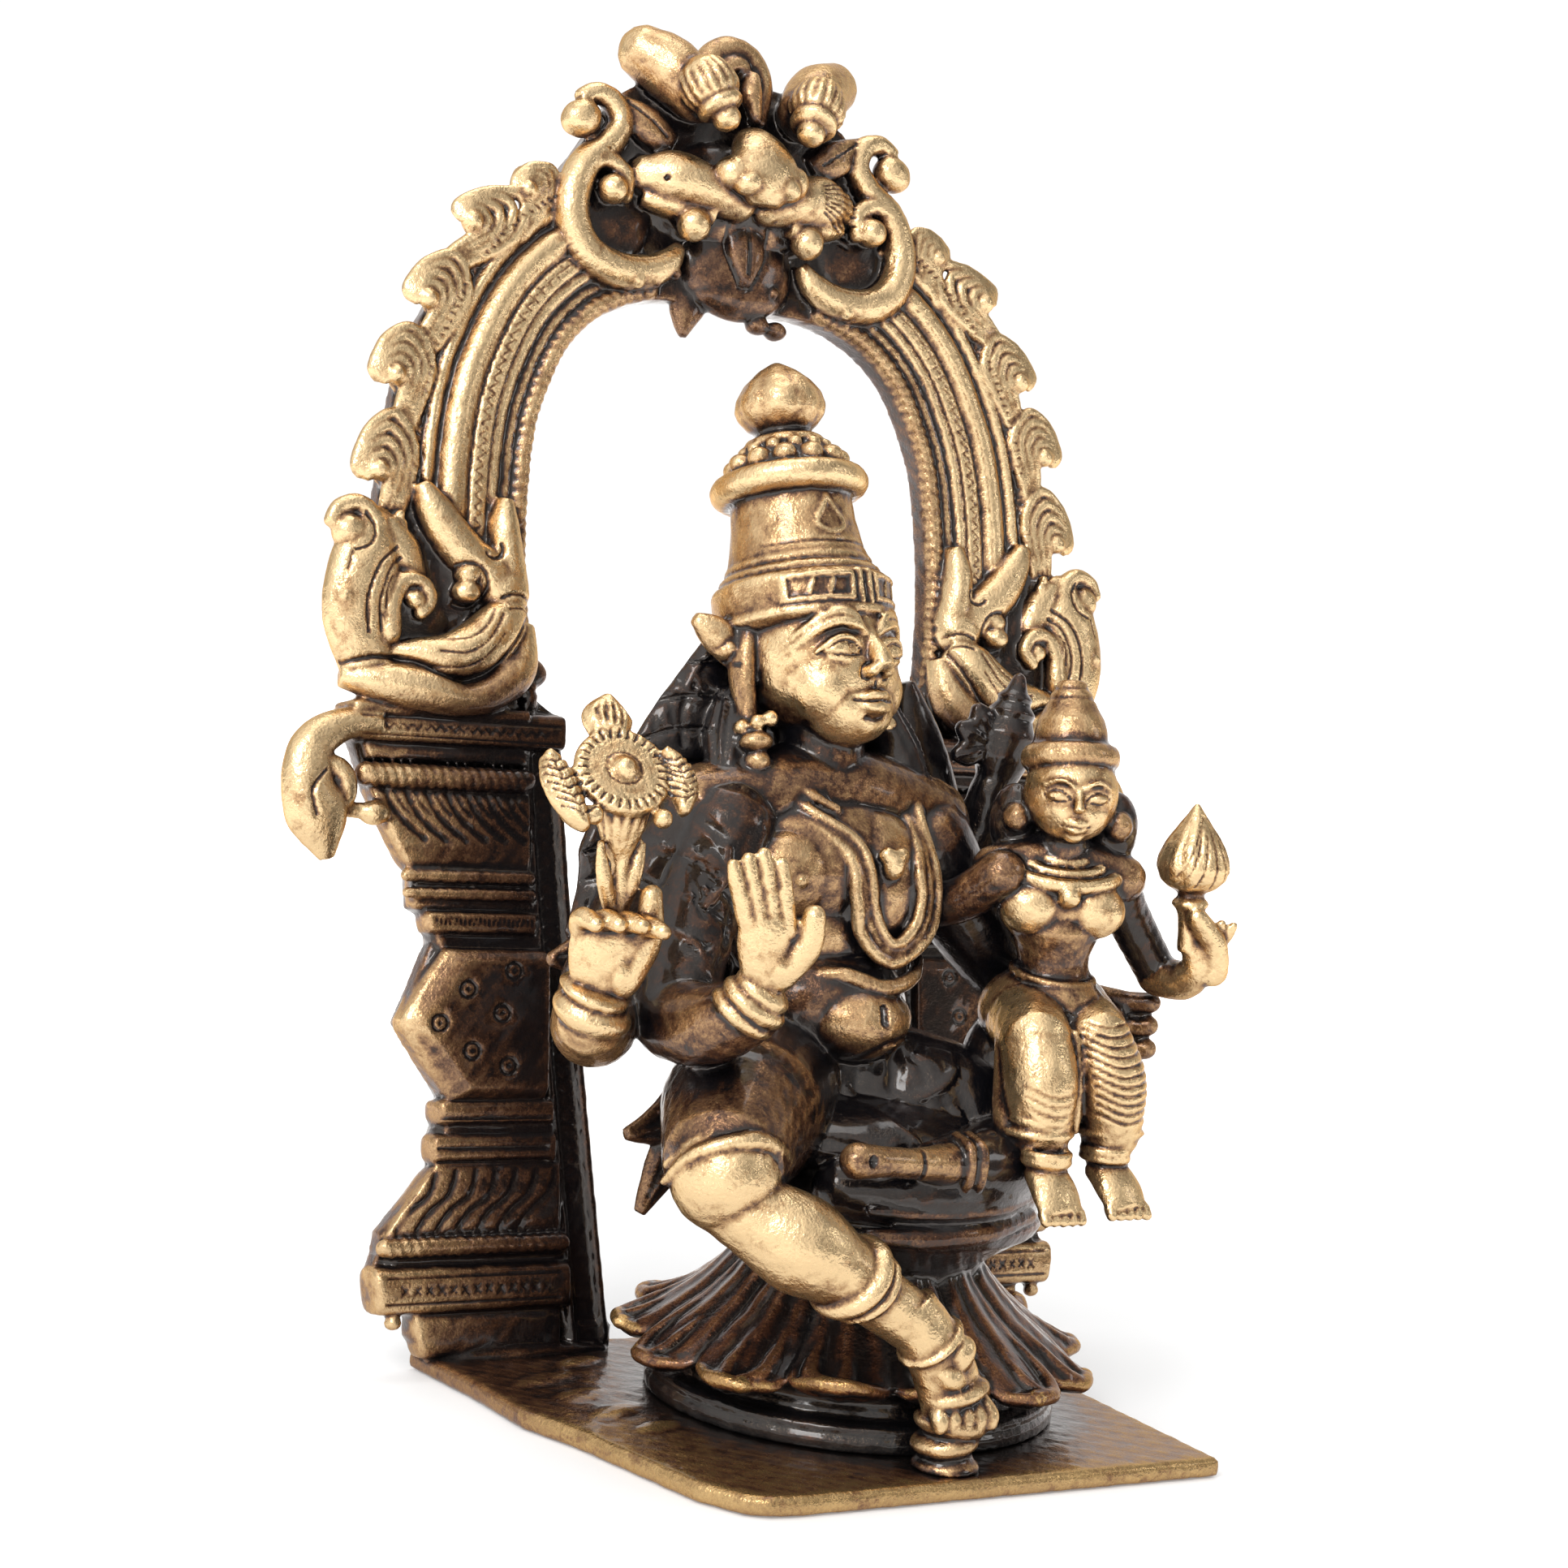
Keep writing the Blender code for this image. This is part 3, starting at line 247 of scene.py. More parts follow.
    def turned(self, profile, at, tilt=(0, 0, 0), lobes=0, depth=0.0, between=(-99, 99)):
        """A turned form: (radius, height) pairs from the top down, with lobes round it at some heights."""
        place = Matrix.Translation(Vector(at)) @ turn(tilt)
        rings = []
        for r, z in profile:
            ring = []
            for k in range(96):
                a = -math.tau * k / 96
                grow = 1 + depth * abs(math.cos(lobes * a / 2)) if between[0] < z < between[1] else 1
                ring.append(place @ Vector((max(r, 0.01) * grow * math.cos(a),
                                            max(r, 0.01) * grow * math.sin(a), z)))
            rings.append(ring)
        self.loft(rings)

    def slab(self, outline, front, back):
        """A flat plate in the X-Z plane with that outline, from y = front to y = back."""
        self.loft([[(x, y, z) for x, z in outline] for y in (front, back)])

    def bar(self, inner, outer, low, high, stand, steps=10):
        """A moulding across a pillar, with soft edges. outer is its end at the bottom and the top."""
        rings = []
        for i in range(steps + 3):
            t = min(i / steps, 1.0)
            size = (1.0, 0.93, 0.55)[max(i - steps, 0)]
            push = (0, 0.22, 0.4)[max(i - steps, 0)]
            ring = []
            for k in range(24):
                a = math.tau * k / 24
                c, s = math.cos(a), math.sin(a)
                v = 0.5 + 0.5 * size * math.copysign(abs(s) ** 0.45, s)
                y = 0.4 - (stand + 0.4) * size * math.copysign(abs(c) ** 0.5, c)
                ring.append((lerp(inner, lerp(outer[0], outer[1], v) - 0.3, t) + push, y,
                             lerp(low, high, v)))
            rings.append(ring)
        self.loft(rings)

    def cut(self, lines, near, far, place=None):
        """Lines (points in x and z, half width, depth) cut into what faces -Y from y = near to y = far."""
        self.cuts.append((self.frame @ (place or Matrix()), lines, near, far))


def material(name, colour_stops, bump):
    """Antique brass: black patina in the recesses, red brown between, bare metal where hands rub it bright,
    and painted shade where the undersides face down.
    """
    made = bpy.data.materials.new(name)
    made.use_nodes = True
    tree = made.node_tree
    nodes = tree.nodes
    link = tree.links.new
    shader = nodes["Principled BSDF"]
    where = nodes.new("ShaderNodeTexCoord")
    # how bare the metal is at each point, with the painted shade of the undersides in it
    polish_and_shade = nodes.new("ShaderNodeAttribute")
    polish_and_shade.attribute_name = "polish_and_shade"

    def noise(scale, detail, rough=0.6):
        made_noise = nodes.new("ShaderNodeTexNoise")
        made_noise.inputs["Scale"].default_value = scale
        made_noise.inputs["Detail"].default_value = detail
        made_noise.inputs["Roughness"].default_value = rough
        link(where.outputs["Object"], made_noise.inputs["Vector"])
        return made_noise.outputs["Fac"]

    def maths(operation, a, b, c=None):
        node = nodes.new("ShaderNodeMath")
        node.operation = operation
        for socket, value in zip(node.inputs, (a, b, c)):
            if value is None:
                continue
            if isinstance(value, (int, float)):
                socket.default_value = value
            else:
                link(value, socket)
        return node.outputs[0]

    def ramp(value, stops):
        node = nodes.new("ShaderNodeValToRGB")
        elements = node.color_ramp.elements
        while len(elements) < len(stops):
            elements.new(0.5)
        for element, (place, colour) in zip(elements, stops):
            element.position = place
            element.color = colour if len(colour) == 4 else (*colour, 1.0)
        link(value, node.inputs["Fac"])
        return node.outputs["Color"]

    # patches of wear, then grains of patina held in the pits of the casting
    patches = maths("MULTIPLY_ADD", noise(260, 4), 0.34, -0.17)
    grains = maths("MULTIPLY_ADD", noise(3600, 3, 0.7), 0.62, -0.31)
    stains = maths("MAXIMUM", maths("MULTIPLY_ADD", noise(560, 6, 0.75), 1.6, -0.84), 0.0)
    wear = maths("SUBTRACT", maths("ADD", polish_and_shade.outputs["Fac"], patches), stains)
    middle = maths("SUBTRACT", 1.0, maths("ABSOLUTE", maths("MULTIPLY_ADD", wear, 1.9, -0.95), 0.0))
    held = maths("MULTIPLY", grains, maths("MULTIPLY_ADD", maths("MAXIMUM", middle, 0.0), 0.80, 0.16))
    wear = maths("ADD", wear, held)
    link(ramp(wear, colour_stops), shader.inputs["Base Color"])
    level = maths("MAXIMUM", maths("MINIMUM", wear, 1.0), 0.0)
    link(maths("MULTIPLY_ADD", level, 0.7, 0.3), shader.inputs["Metallic"])
    rough = maths("MULTIPLY_ADD", noise(1500, 3), 0.20, 0.12)
    link(maths("MULTIPLY_ADD", level, 0.06, rough), shader.inputs["Roughness"])
    link(maths("MULTIPLY_ADD", level, -0.72, 0.85), shader.inputs["Coat Weight"])
    shader.inputs["Coat Roughness"].default_value = 0.12
    shader.inputs["Specular IOR Level"].default_value = 0.5
    shader.inputs["Specular Tint"].default_value = (0.62, 0.42, 0.25, 1)
    lumps = maths("MULTIPLY", noise(900, 3), 1.6)
    pits = maths("MULTIPLY_ADD", noise(4200, 2), 0.7, lumps)
    relief = nodes.new("ShaderNodeBump")
    relief.inputs["Strength"].default_value = bump
    relief.inputs["Distance"].default_value = 0.00016
    link(pits, relief.inputs["Height"])
    link(relief.outputs["Normal"], shader.inputs["Normal"])
    return made


def evaluated(obj):
    bpy.context.scene.collection.objects.link(obj)
    graph = bpy.context.evaluated_depsgraph_get()
    mesh = bpy.data.meshes.new_from_object(obj.evaluated_get(graph))
    bpy.data.objects.remove(obj)
    return mesh


def coordinates(mesh):
    flat = np.empty(len(mesh.vertices) * 3, dtype=np.float32)
    mesh.vertices.foreach_get("co", flat)
    return flat.reshape(-1, 3).astype(np.float64)


def normals(mesh):
    flat = np.empty(len(mesh.vertices) * 3, dtype=np.float32)
    mesh.vertex_normals.foreach_get("vector", flat)
    return flat.reshape(-1, 3).astype(np.float64)


def set_coordinates(mesh, points):
    mesh.vertices.foreach_set("co", points.astype(np.float32).ravel())
    mesh.update()


def cut_map(lines):
    """A small height field of the lines: its corner, and how deep they cut at each cell."""
    reach = max(width for _, width, _ in lines) + 0.2
    flat = [p for points, _, _ in lines for p in points]
    low = np.array([min(p[0] for p in flat) - reach, min(p[1] for p in flat) - reach])
    high = np.array([max(p[0] for p in flat) + reach, max(p[1] for p in flat) + reach])
    field = np.zeros(((high - low) / CARVE_CELL).astype(int) + 3)
    for points, width, depth in lines:
        pad = int(width / CARVE_CELL) + 1
        grid = np.mgrid[-pad:pad + 1, -pad:pad + 1]
        for at in even([(p[0], p[1], 0) for p in points], CARVE_CELL * 1.2):
            spot = (np.array([at.x, at.y]) - low) / CARVE_CELL
            cell = np.round(spot).astype(int)
            near = np.hypot(grid[0] + cell[0] - spot[0], grid[1] + cell[1] - spot[1]) * CARVE_CELL / width
            shape = np.clip(1 - near ** 2, 0, 1) ** 1.5
            x0, z0 = cell - pad
            x1, z1 = x0 + shape.shape[0], z0 + shape.shape[1]
            a0, c0 = max(x0, 0), max(z0, 0)
            a1, c1 = min(x1, field.shape[0]), min(z1, field.shape[1])
            if a1 <= a0 or c1 <= c0:
                continue
            part = shape[a0 - x0:a1 - x0, c0 - z0:c1 - z0] * depth
            held = field[a0:a1, c0:c1]
            field[a0:a1, c0:c1] = np.where(np.abs(part) > np.abs(held), part, held)
    return low, field


def carve(points, facing, cuts):
    """Moves the points that face each cut's own -Y into the surface along its lines."""
    for place, lines, near, far in cuts:
        back = np.array(place.inverted())
        local = points @ back[:3, :3].T + back[:3, 3]
        out = np.array(place.to_3x3() @ Vector((0, 1, 0)))
        scale = np.linalg.norm(out)
        toward = -(facing @ (out / scale))
        low, field = cut_map(lines)
        spot = (local[:, [0, 2]] - low) / CARVE_CELL
        inside = (spot > 0).all(axis=1)
        inside = inside & (spot[:, 0] < field.shape[0] - 2) & (spot[:, 1] < field.shape[1] - 2)
        pick = np.nonzero(inside & (local[:, 1] > near) & (local[:, 1] < far) & (toward > 0.05))[0]
        cell = spot[pick].astype(int)
        part = spot[pick] - cell
        depth = 0.0
        for i in (0, 1):
            for k in (0, 1):
                share = np.abs(1 - i - part[:, 0]) * np.abs(1 - k - part[:, 1])
                depth = depth + field[cell[:, 0] + i, cell[:, 1] + k] * share
        depth = depth * np.clip(toward[pick] * 2.2, 0, 1)
        points[pick] += np.outer(depth, out)


def neighbours_mean(values, edges, count):
    """The mean of each point's neighbours."""
    total = np.zeros((count, values.shape[1]))
    for axis in range(values.shape[1]):
        total[:, axis] = (np.bincount(edges[:, 0], values[edges[:, 1], axis], count)
                          + np.bincount(edges[:, 1], values[edges[:, 0], axis], count))
    degree = np.bincount(edges.ravel(), minlength=count)
    return total / np.maximum(degree, 1)[:, None]


def hollowness(mesh, points):
    """How far each point lies below (positive) or above its surroundings, over a small and a wider patch."""
    edges = np.empty(len(mesh.edges) * 2, dtype=np.int32)
    mesh.edges.foreach_get("vertices", edges)
    edges = edges.reshape(-1, 2)
    facing = normals(mesh)
    soft = points
    fields = []
    for rounds in (5, 14):
        for _ in range(rounds):
            soft = neighbours_mean(soft, edges, len(points)) * 0.6 + soft * 0.4
        fields.append(((soft - points) * facing).sum(axis=1))
    return fields


def cast(wax, name, surface, triangles=TRIANGLES, grain=GRAIN, fade=None):
    """Fuses the forms into one skin, cuts the lines, and keeps the patina of each form on its points."""
    mesh = bpy.data.meshes.new(name)
    mesh.from_pydata(wax.points, [], wax.faces)
    obj = bpy.data.objects.new(name, mesh)
    fuse = obj.modifiers.new("fuse", "REMESH")
    fuse.mode = "VOXEL"
    fuse.voxel_size = grain
    soften = obj.modifiers.new("soften", "SMOOTH")
    soften.factor = 0.5
    soften.iterations = 3
    skin = evaluated(obj)
    points = coordinates(skin)
    wave = np.zeros(len(points))
    for k, (a, b, c) in enumerate(((1.7, 2.3, 1.1), (-2.9, 1.3, 2.2), (1.2, -3.1, 2.8), (4.3, 3.7, -3.9))):
        wave += np.sin(points @ np.array((a, b, c)) / UNIT + k * 1.7) * 0.25
    points += normals(skin) * (wave * 0.035 * UNIT)[:, None]
    if wax.cuts:
        carve(points, normals(skin), wax.cuts)
    set_coordinates(skin, points)
    fields = hollowness(skin, points)
    tree = KDTree(len(points))
    for i, p in enumerate(points):
        tree.insert(p, i)
    tree.balance()
    obj = bpy.data.objects.new(name, skin)
    reduce = obj.modifiers.new("facets", "DECIMATE")
    reduce.ratio = min(1.0, triangles / (2 * len(skin.polygons)))
    reduce.use_collapse_triangulate = True
    mesh = evaluated(obj)
    mesh.name = name
    mesh.materials.append(surface)
    mesh.polygons.foreach_set("use_smooth", [True] * len(mesh.polygons))
    source = BVHTree.FromPolygons(wax.points, wax.faces)
    tones = []
    hollow = []
    for v in mesh.vertices:
        found = source.find_nearest(v.co)
        tones.append(wax.tones[found[2]] if found[2] is not None else BRONZE)
        hollow.append(tree.find(v.co)[1])
    tones = np.array(tones)
    if fade:
        tones = tones * fade(coordinates(mesh) / UNIT)
    obj = bpy.data.objects.new(name, mesh)
    bpy.context.scene.collection.objects.link(obj)
    return obj, tones, fields[0][hollow] / UNIT, fields[1][hollow] / UNIT


def shade_in(pieces):
    """Works out how shut in each point is among all the pieces, and writes how bare each point is, with
    painted shade on its undersides.
    """
    points = []
    faces = []
    for obj, *_ in pieces:
        start = len(points)
        points.extend(coordinates(obj.data).tolist())
        loops = np.empty(len(obj.data.polygons) * 3, dtype=np.int32)
        obj.data.polygons.foreach_get("vertices", loops)
        faces.extend((loops.reshape(-1, 3) + start).tolist())
    solid = BVHTree.FromPolygons(points, faces)
    rays = []
    for i in range(SHUT_RAYS):
        up = math.sqrt(1 - (i + 0.5) / SHUT_RAYS)
        flat = math.sqrt(1 - up * up)
        angle = i * GOLDEN_ANGLE
        rays.append(Vector((flat * math.cos(angle), flat * math.sin(angle), up)))
    for obj, tones, fine, wide in pieces:
        here = coordinates(obj.data)
        facing = normals(obj.data)
        skip = max(1, len(here) // SHUT_POINTS)
        chosen = range(0, len(here), skip)
        tree = KDTree(len(chosen))
        shut = []
        for n, i in enumerate(chosen):
            normal = Vector(facing[i])
            at = Vector(here[i]) + normal * 0.00012
            spin = normal.to_track_quat("Z", "Y")
            closed = 0.0
            for ray in rays:
                hit = solid.ray_cast(at, spin @ ray, SHUT_REACH)[3]
                if hit is not None:
                    closed += 1 - hit / SHUT_REACH
            shut.append(closed / SHUT_RAYS)
            tree.insert(here[i], n)
        tree.balance()
        shut = np.array(shut)
        spread = np.empty(len(here))
        for i, p in enumerate(here):
            spread[i] = np.mean([shut[n] for _, n, _ in tree.find_n(p, 4)])
        polish_and_shade = tones - 1.25 * np.clip(spread - 0.20, 0, 1)
        polish_and_shade -= np.clip(fine * 7.5, -0.10, 0.40) + np.clip(wide * 2.0, -0.12, 0.42)
        # undersides are darkened: painted shade under the forms, where they face down away from the light
        polish_and_shade -= 0.20 * np.clip(-np.array(facing)[:, 2] - 0.1, 0, 1)
        field = obj.data.attributes.new("polish_and_shade", "FLOAT", "POINT")
        field.data.foreach_set("value", np.clip(polish_and_shade, 0, 1.1).astype(np.float32))


# The arch, in its own plane: x across, z up along the arch, y = 0 at its slab's face and -y to the front

INNER_EDGE = [(11.3, 0.5), (12.2, 8), (13.6, 20.5), (15, 33.7), (15.9, 44), (16.3, 51)]
INNER_ARCH = [
    (18.6, 52.6), (19.4, 59), (19.7, 65), (19.5, 70), (19, 74.6), (18, 78),
    (16.3, 81.7), (14, 84.4), (11.2, 86.2), (8, 87.3), (4.5, 87.6), (0, 87.2),
]
OUTER_ARCH = [
    (0, 108), (7, 107), (12, 104), (15, 99.5), (19.6, 93.8), (24.4, 90.2), (28.4, 84.4),
    (31, 78), (32.2, 71), (33, 66), (35, 62.5), (36.2, 58.5), (35.4, 55), (33.5, 52),
]
PILLAR_OUTER = [
    (34.6, 51.2), (34.4, 48.2), (33, 44.2), (29.4, 38.4), (29.2, 35.2), (28, 34.6), (27.4, 32.4),
    (30.2, 26), (26.2, 20), (27, 17), (27, 14.6), (31.4, 9.6), (31.6, 8), (32, 7), (31.8, 3.3),
    (28.8, 3.1), (28.8, 1.4), (28.0, 0.5),
]
# Each leaf of the flame border: its root on the band, its shoulder and its curl
FLAMES = [
    ((30.4, 68.6), (31.8, 74.8), (33.1, 69.8)),
    ((30.0, 75.2), (30.4, 82.0), (31.8, 77.7)),
    ((28.2, 82.6), (26.5, 88.4), (29.1, 84.3)),
    ((24.8, 88.8), (20.5, 94.0), (25.3, 91.2)),
    ((19.2, 92.4), (17.9, 97.0), (20.3, 94.7)),
]
TOWARD = (0, -1, 0)


def on_front(points, depth):
    return [(x, -depth, z) for x, z in points]


def along_inner(offset, low=62):
    """A line offset units outside the inner edge of the arch, from the mouth to the crown."""
    centre = Vector((0, 68))
    line = []
    for x, z in curve([p for p in INNER_ARCH if low < p[1] and p[0] > 7], 4):
        out = (Vector((x, z)) - centre).normalized()
        at = (x + out.x * offset, z + out.y * offset)
        if at[0] > 14.8 or at[1] < 89.2:
            line.append(at)
    return line


def wrinkles(across, up, count, seed):
    """Short crumpled folds, in and out, spread over a box in x and z."""
    chance = np.random.default_rng(seed)
    lines = []
    for _ in range(count):
        x = chance.uniform(*across)
        z = chance.uniform(*up)
        angle = chance.uniform(-1.3, 1.3) + math.pi / 2
        reach = chance.uniform(1.0, 2.8)
        bend = chance.uniform(-0.8, 0.8)
        way = Vector((math.cos(angle), math.sin(angle)))
        side = Vector((-way.y, way.x))
        path = [Vector((x, z)) - way * reach, Vector((x, z)) + side * bend, Vector((x, z)) + way * reach]
        path = curve([tuple(q) for q in path], 6)
        lines.append((path, chance.uniform(0.4, 0.9), chance.uniform(-0.34, 0.34)))
    return lines


def inner_at(z):
    """Where the pillar's inner edge is at height z."""
    for (x0, z0), (x1, z1) in zip(INNER_EDGE, INNER_EDGE[1:]):
        if z <= z1:
            return lerp(x0, x1, (z - z0) / (z1 - z0))
    return INNER_EDGE[-1][0]


def circle(at, radius, start=0, end=360, count=24):
    turns = [math.radians(lerp(start, end, i / (count - 1))) for i in range(count)]
    return [(at[0] + radius * math.cos(a), at[1] + radius * math.sin(a)) for a in turns]


def pillar(wax):
    """The mouldings of one pillar from the capital down, with ropes, flutes, zigzags and ring dots."""
    lines = []
    wax.tone = BROWN
    for edge in (0.45, 3.3):
        wax.tube(on_front([(x + edge, z) for x, z in INNER_EDGE], 0.15), 0.38)
    wax.tone = BRONZE
    wax.bar(inner_at(50) + 0.2, (34.8, 35.2), 48.2, 51.2, 1.7)
    # bottom, top, lower outer end, upper outer end, how far it stands
    for low, high, outer_low, outer_high, stand in (
        (50.3, 51.4, 35.0, 35.2, 2.0), (46.8, 48.3, 33.4, 33.8, 0.8), (38.0, 44.8, 29.8, 33.4, 1.0),
        (35.0, 38.4, 29.2, 29.4, 0.7), (33.1, 34.9, 28.0, 28.3, 1.1), (31.4, 33.4, 26.8, 27.4, 0.6),
        (18.0, 19.9, 27.0, 27.0, 1.4), (16.6, 18.4, 26.4, 26.4, 0.8), (14.9, 17.2, 27.4, 27.4, 1.15),
        (9.0, 15.0, 31.6, 27.0, 1.05), (6.4, 9.4, 30.8, 30.8, 0.7), (3.2, 6.9, 32.0, 32.4, 1.6),
    ):
        wax.bar(inner_at((low + high) / 2) + 3.6, (outer_low, outer_high), low, high, stand)
    wax.bar(inner_at(2) + 4.6, (28.2, 28.9), -SINK, 3.4, 1.0)
    for z, outer, radius in ((45.6, 33.8, 0.95), (37.7, 30.0, 0.5), (36.3, 29.9, 0.45), (8.4, 31.5, 0.75)):
        inner = inner_at(z) + 3.9
        depth = 1.0 if radius > 0.6 else 0.85
        wax.rope([(inner, -depth, z), ((inner + outer) / 2, -depth, z), (outer, -depth + 0.2, z)], radius,
                 0.8, 0.08)
    for z in (19.0, 15.6, 16.6):
        lines.append(([(17.4, z - 0.55), (27.0, z - 0.55)], 0.2, 0.22))
    # the lozenge and its bevel
    inner = inner_at(26) + 3.6
    rings = []
    for y, away in ((1.0, 0), (-1.0, 0), (-1.35, 0.3), (-1.8, 1.25), (-1.95, 1.7)):
        rings.append([
            (x - away * (1 if x > inner else 0), y,
             z + (away * 0.6 if z < 25 else -away * 0.6 if z > 27 else 0))
            for x, z in [(inner, 31.9), (26.8, 31.9), (28.8, 29.0), (30.35, 26.3), (30.2, 25.4),
                         (28.2, 22.4), (26.2, 19.9), (inner, 19.9)]
        ])
    wax.loft(rings)
    for at in ((25.0, 28.7), (27.4, 26.0), (24.6, 23.8), (22.0, 26.8), (21.4, 22.6), (21.0, 30.2)):
        lines.append((circle(at, 0.66), 0.2, 0.2))
        lines.append((circle(at, 0.12, count=5), 0.18, 0.12))
    # flutes of the two bells, drawn as leaves that lean outwards
    for k in range(7):
        top = 31.9 - 1.75 * k
        deep = 0.15 - 0.01 * k
        lines.append((curve([(top, 44.5), (top - 0.5, 43.2), (top - 1.7, 41.8), (top - 3.4, 40.6)], 5), 0.42,
                      deep))
        lines.append((curve([(top - 0.8, 44.3), (top - 1.3, 43.3), (top - 2.1, 42.6)], 5), 0.24, 0.08))
        foot = 30.4 - 1.75 * k
        lines.append((curve([(foot, 9.9), (foot - 1.0, 11.2), (foot - 2.6, 12.4), (foot - 3.2, 14.2)], 5),
                      0.42, deep))
    # zigzag in the capital's frame, crosses in the foot's
    for z in (48.7, 50.1):
        lines.append(([(17.0, z), (34.4, z)], 0.15, 0.12))
    zigzag = [(18.0 + 0.4 * k, 49.15 if k % 2 else 49.7) for k in range(40)]
    lines.append((zigzag, 0.13, 0.07))
    for z in (4.05, 6.1):
        lines.append(([(16.4, z), (31.4, z)], 0.16, 0.12))
    # faint crosses on the panel that runs beside the mouldings
    for k in range(30):
        z = 14.5 + 1.15 * k
        x = inner_at(z) + 1.9
        lines.append(([(x - 0.7, z - 0.4), (x + 0.7, z + 0.4)], 0.15, 0.08))
        lines.append(([(x + 0.7, z - 0.4), (x - 0.7, z + 0.4)], 0.15, 0.08))
    for k in range(13):
        x = 17.6 + 1.02 * k
        lines.append(([(x - 0.3, 4.7), (x + 0.3, 5.4)], 0.13, 0.1))
        lines.append(([(x + 0.3, 4.7), (x - 0.3, 5.4)], 0.13, 0.1))
    for k in range(22):
        x = 18.6 + 0.42 * k
        lines.append(([(x, 34.35), (x + 0.15, 33.8)], 0.12, 0.12))
    # the leaf that droops from the capital's corner, the bead that ties it, and the drop of metal below
    wax.tone = GOLD
    wax.blade(
        [(32.6, -1, 49.7), (35.8, -1.0, 49.3), (38.2, -1.2, 47.6), (38.7, -1.4, 44.8), (37.8, -1.5, 41.8),
         (36.9, -1.2, 38.7)],
        [1.1, 1.35, 1.75, 2.1, 2.5, 0.6], [1.2, 1.3, 1.5, 1.6, 1.5, 0.6], TOWARD,
    )
    wax.blade([(37.2, -1.6, 46.2), (36.0, -1.7, 45.6), (35.5, -1.5, 44.0), (36.0, -1.3, 42.2)],
              [0.8, 0.9, 0.9, 0.4], [0.8, 0.9, 0.9, 0.4], TOWARD)
    wax.tube([(36, -0.8, 42.8), (33.4, -0.8, 42.6)], [0.6, 0.7])
    wax.ball((32.9, -0.9, 42.5), (1.3, 1.1, 1.0))
    lines.append((curve([(37.6, 45.6), (38.8, 44.0), (38.4, 42.0)], 6), 0.22, 0.25))
    wax.tone = BRONZE
    wax.ball((30.5, -0.6, 2.6), (0.7, 0.7, 0.6))
    wax.cut(lines, -4.0, 0.3)


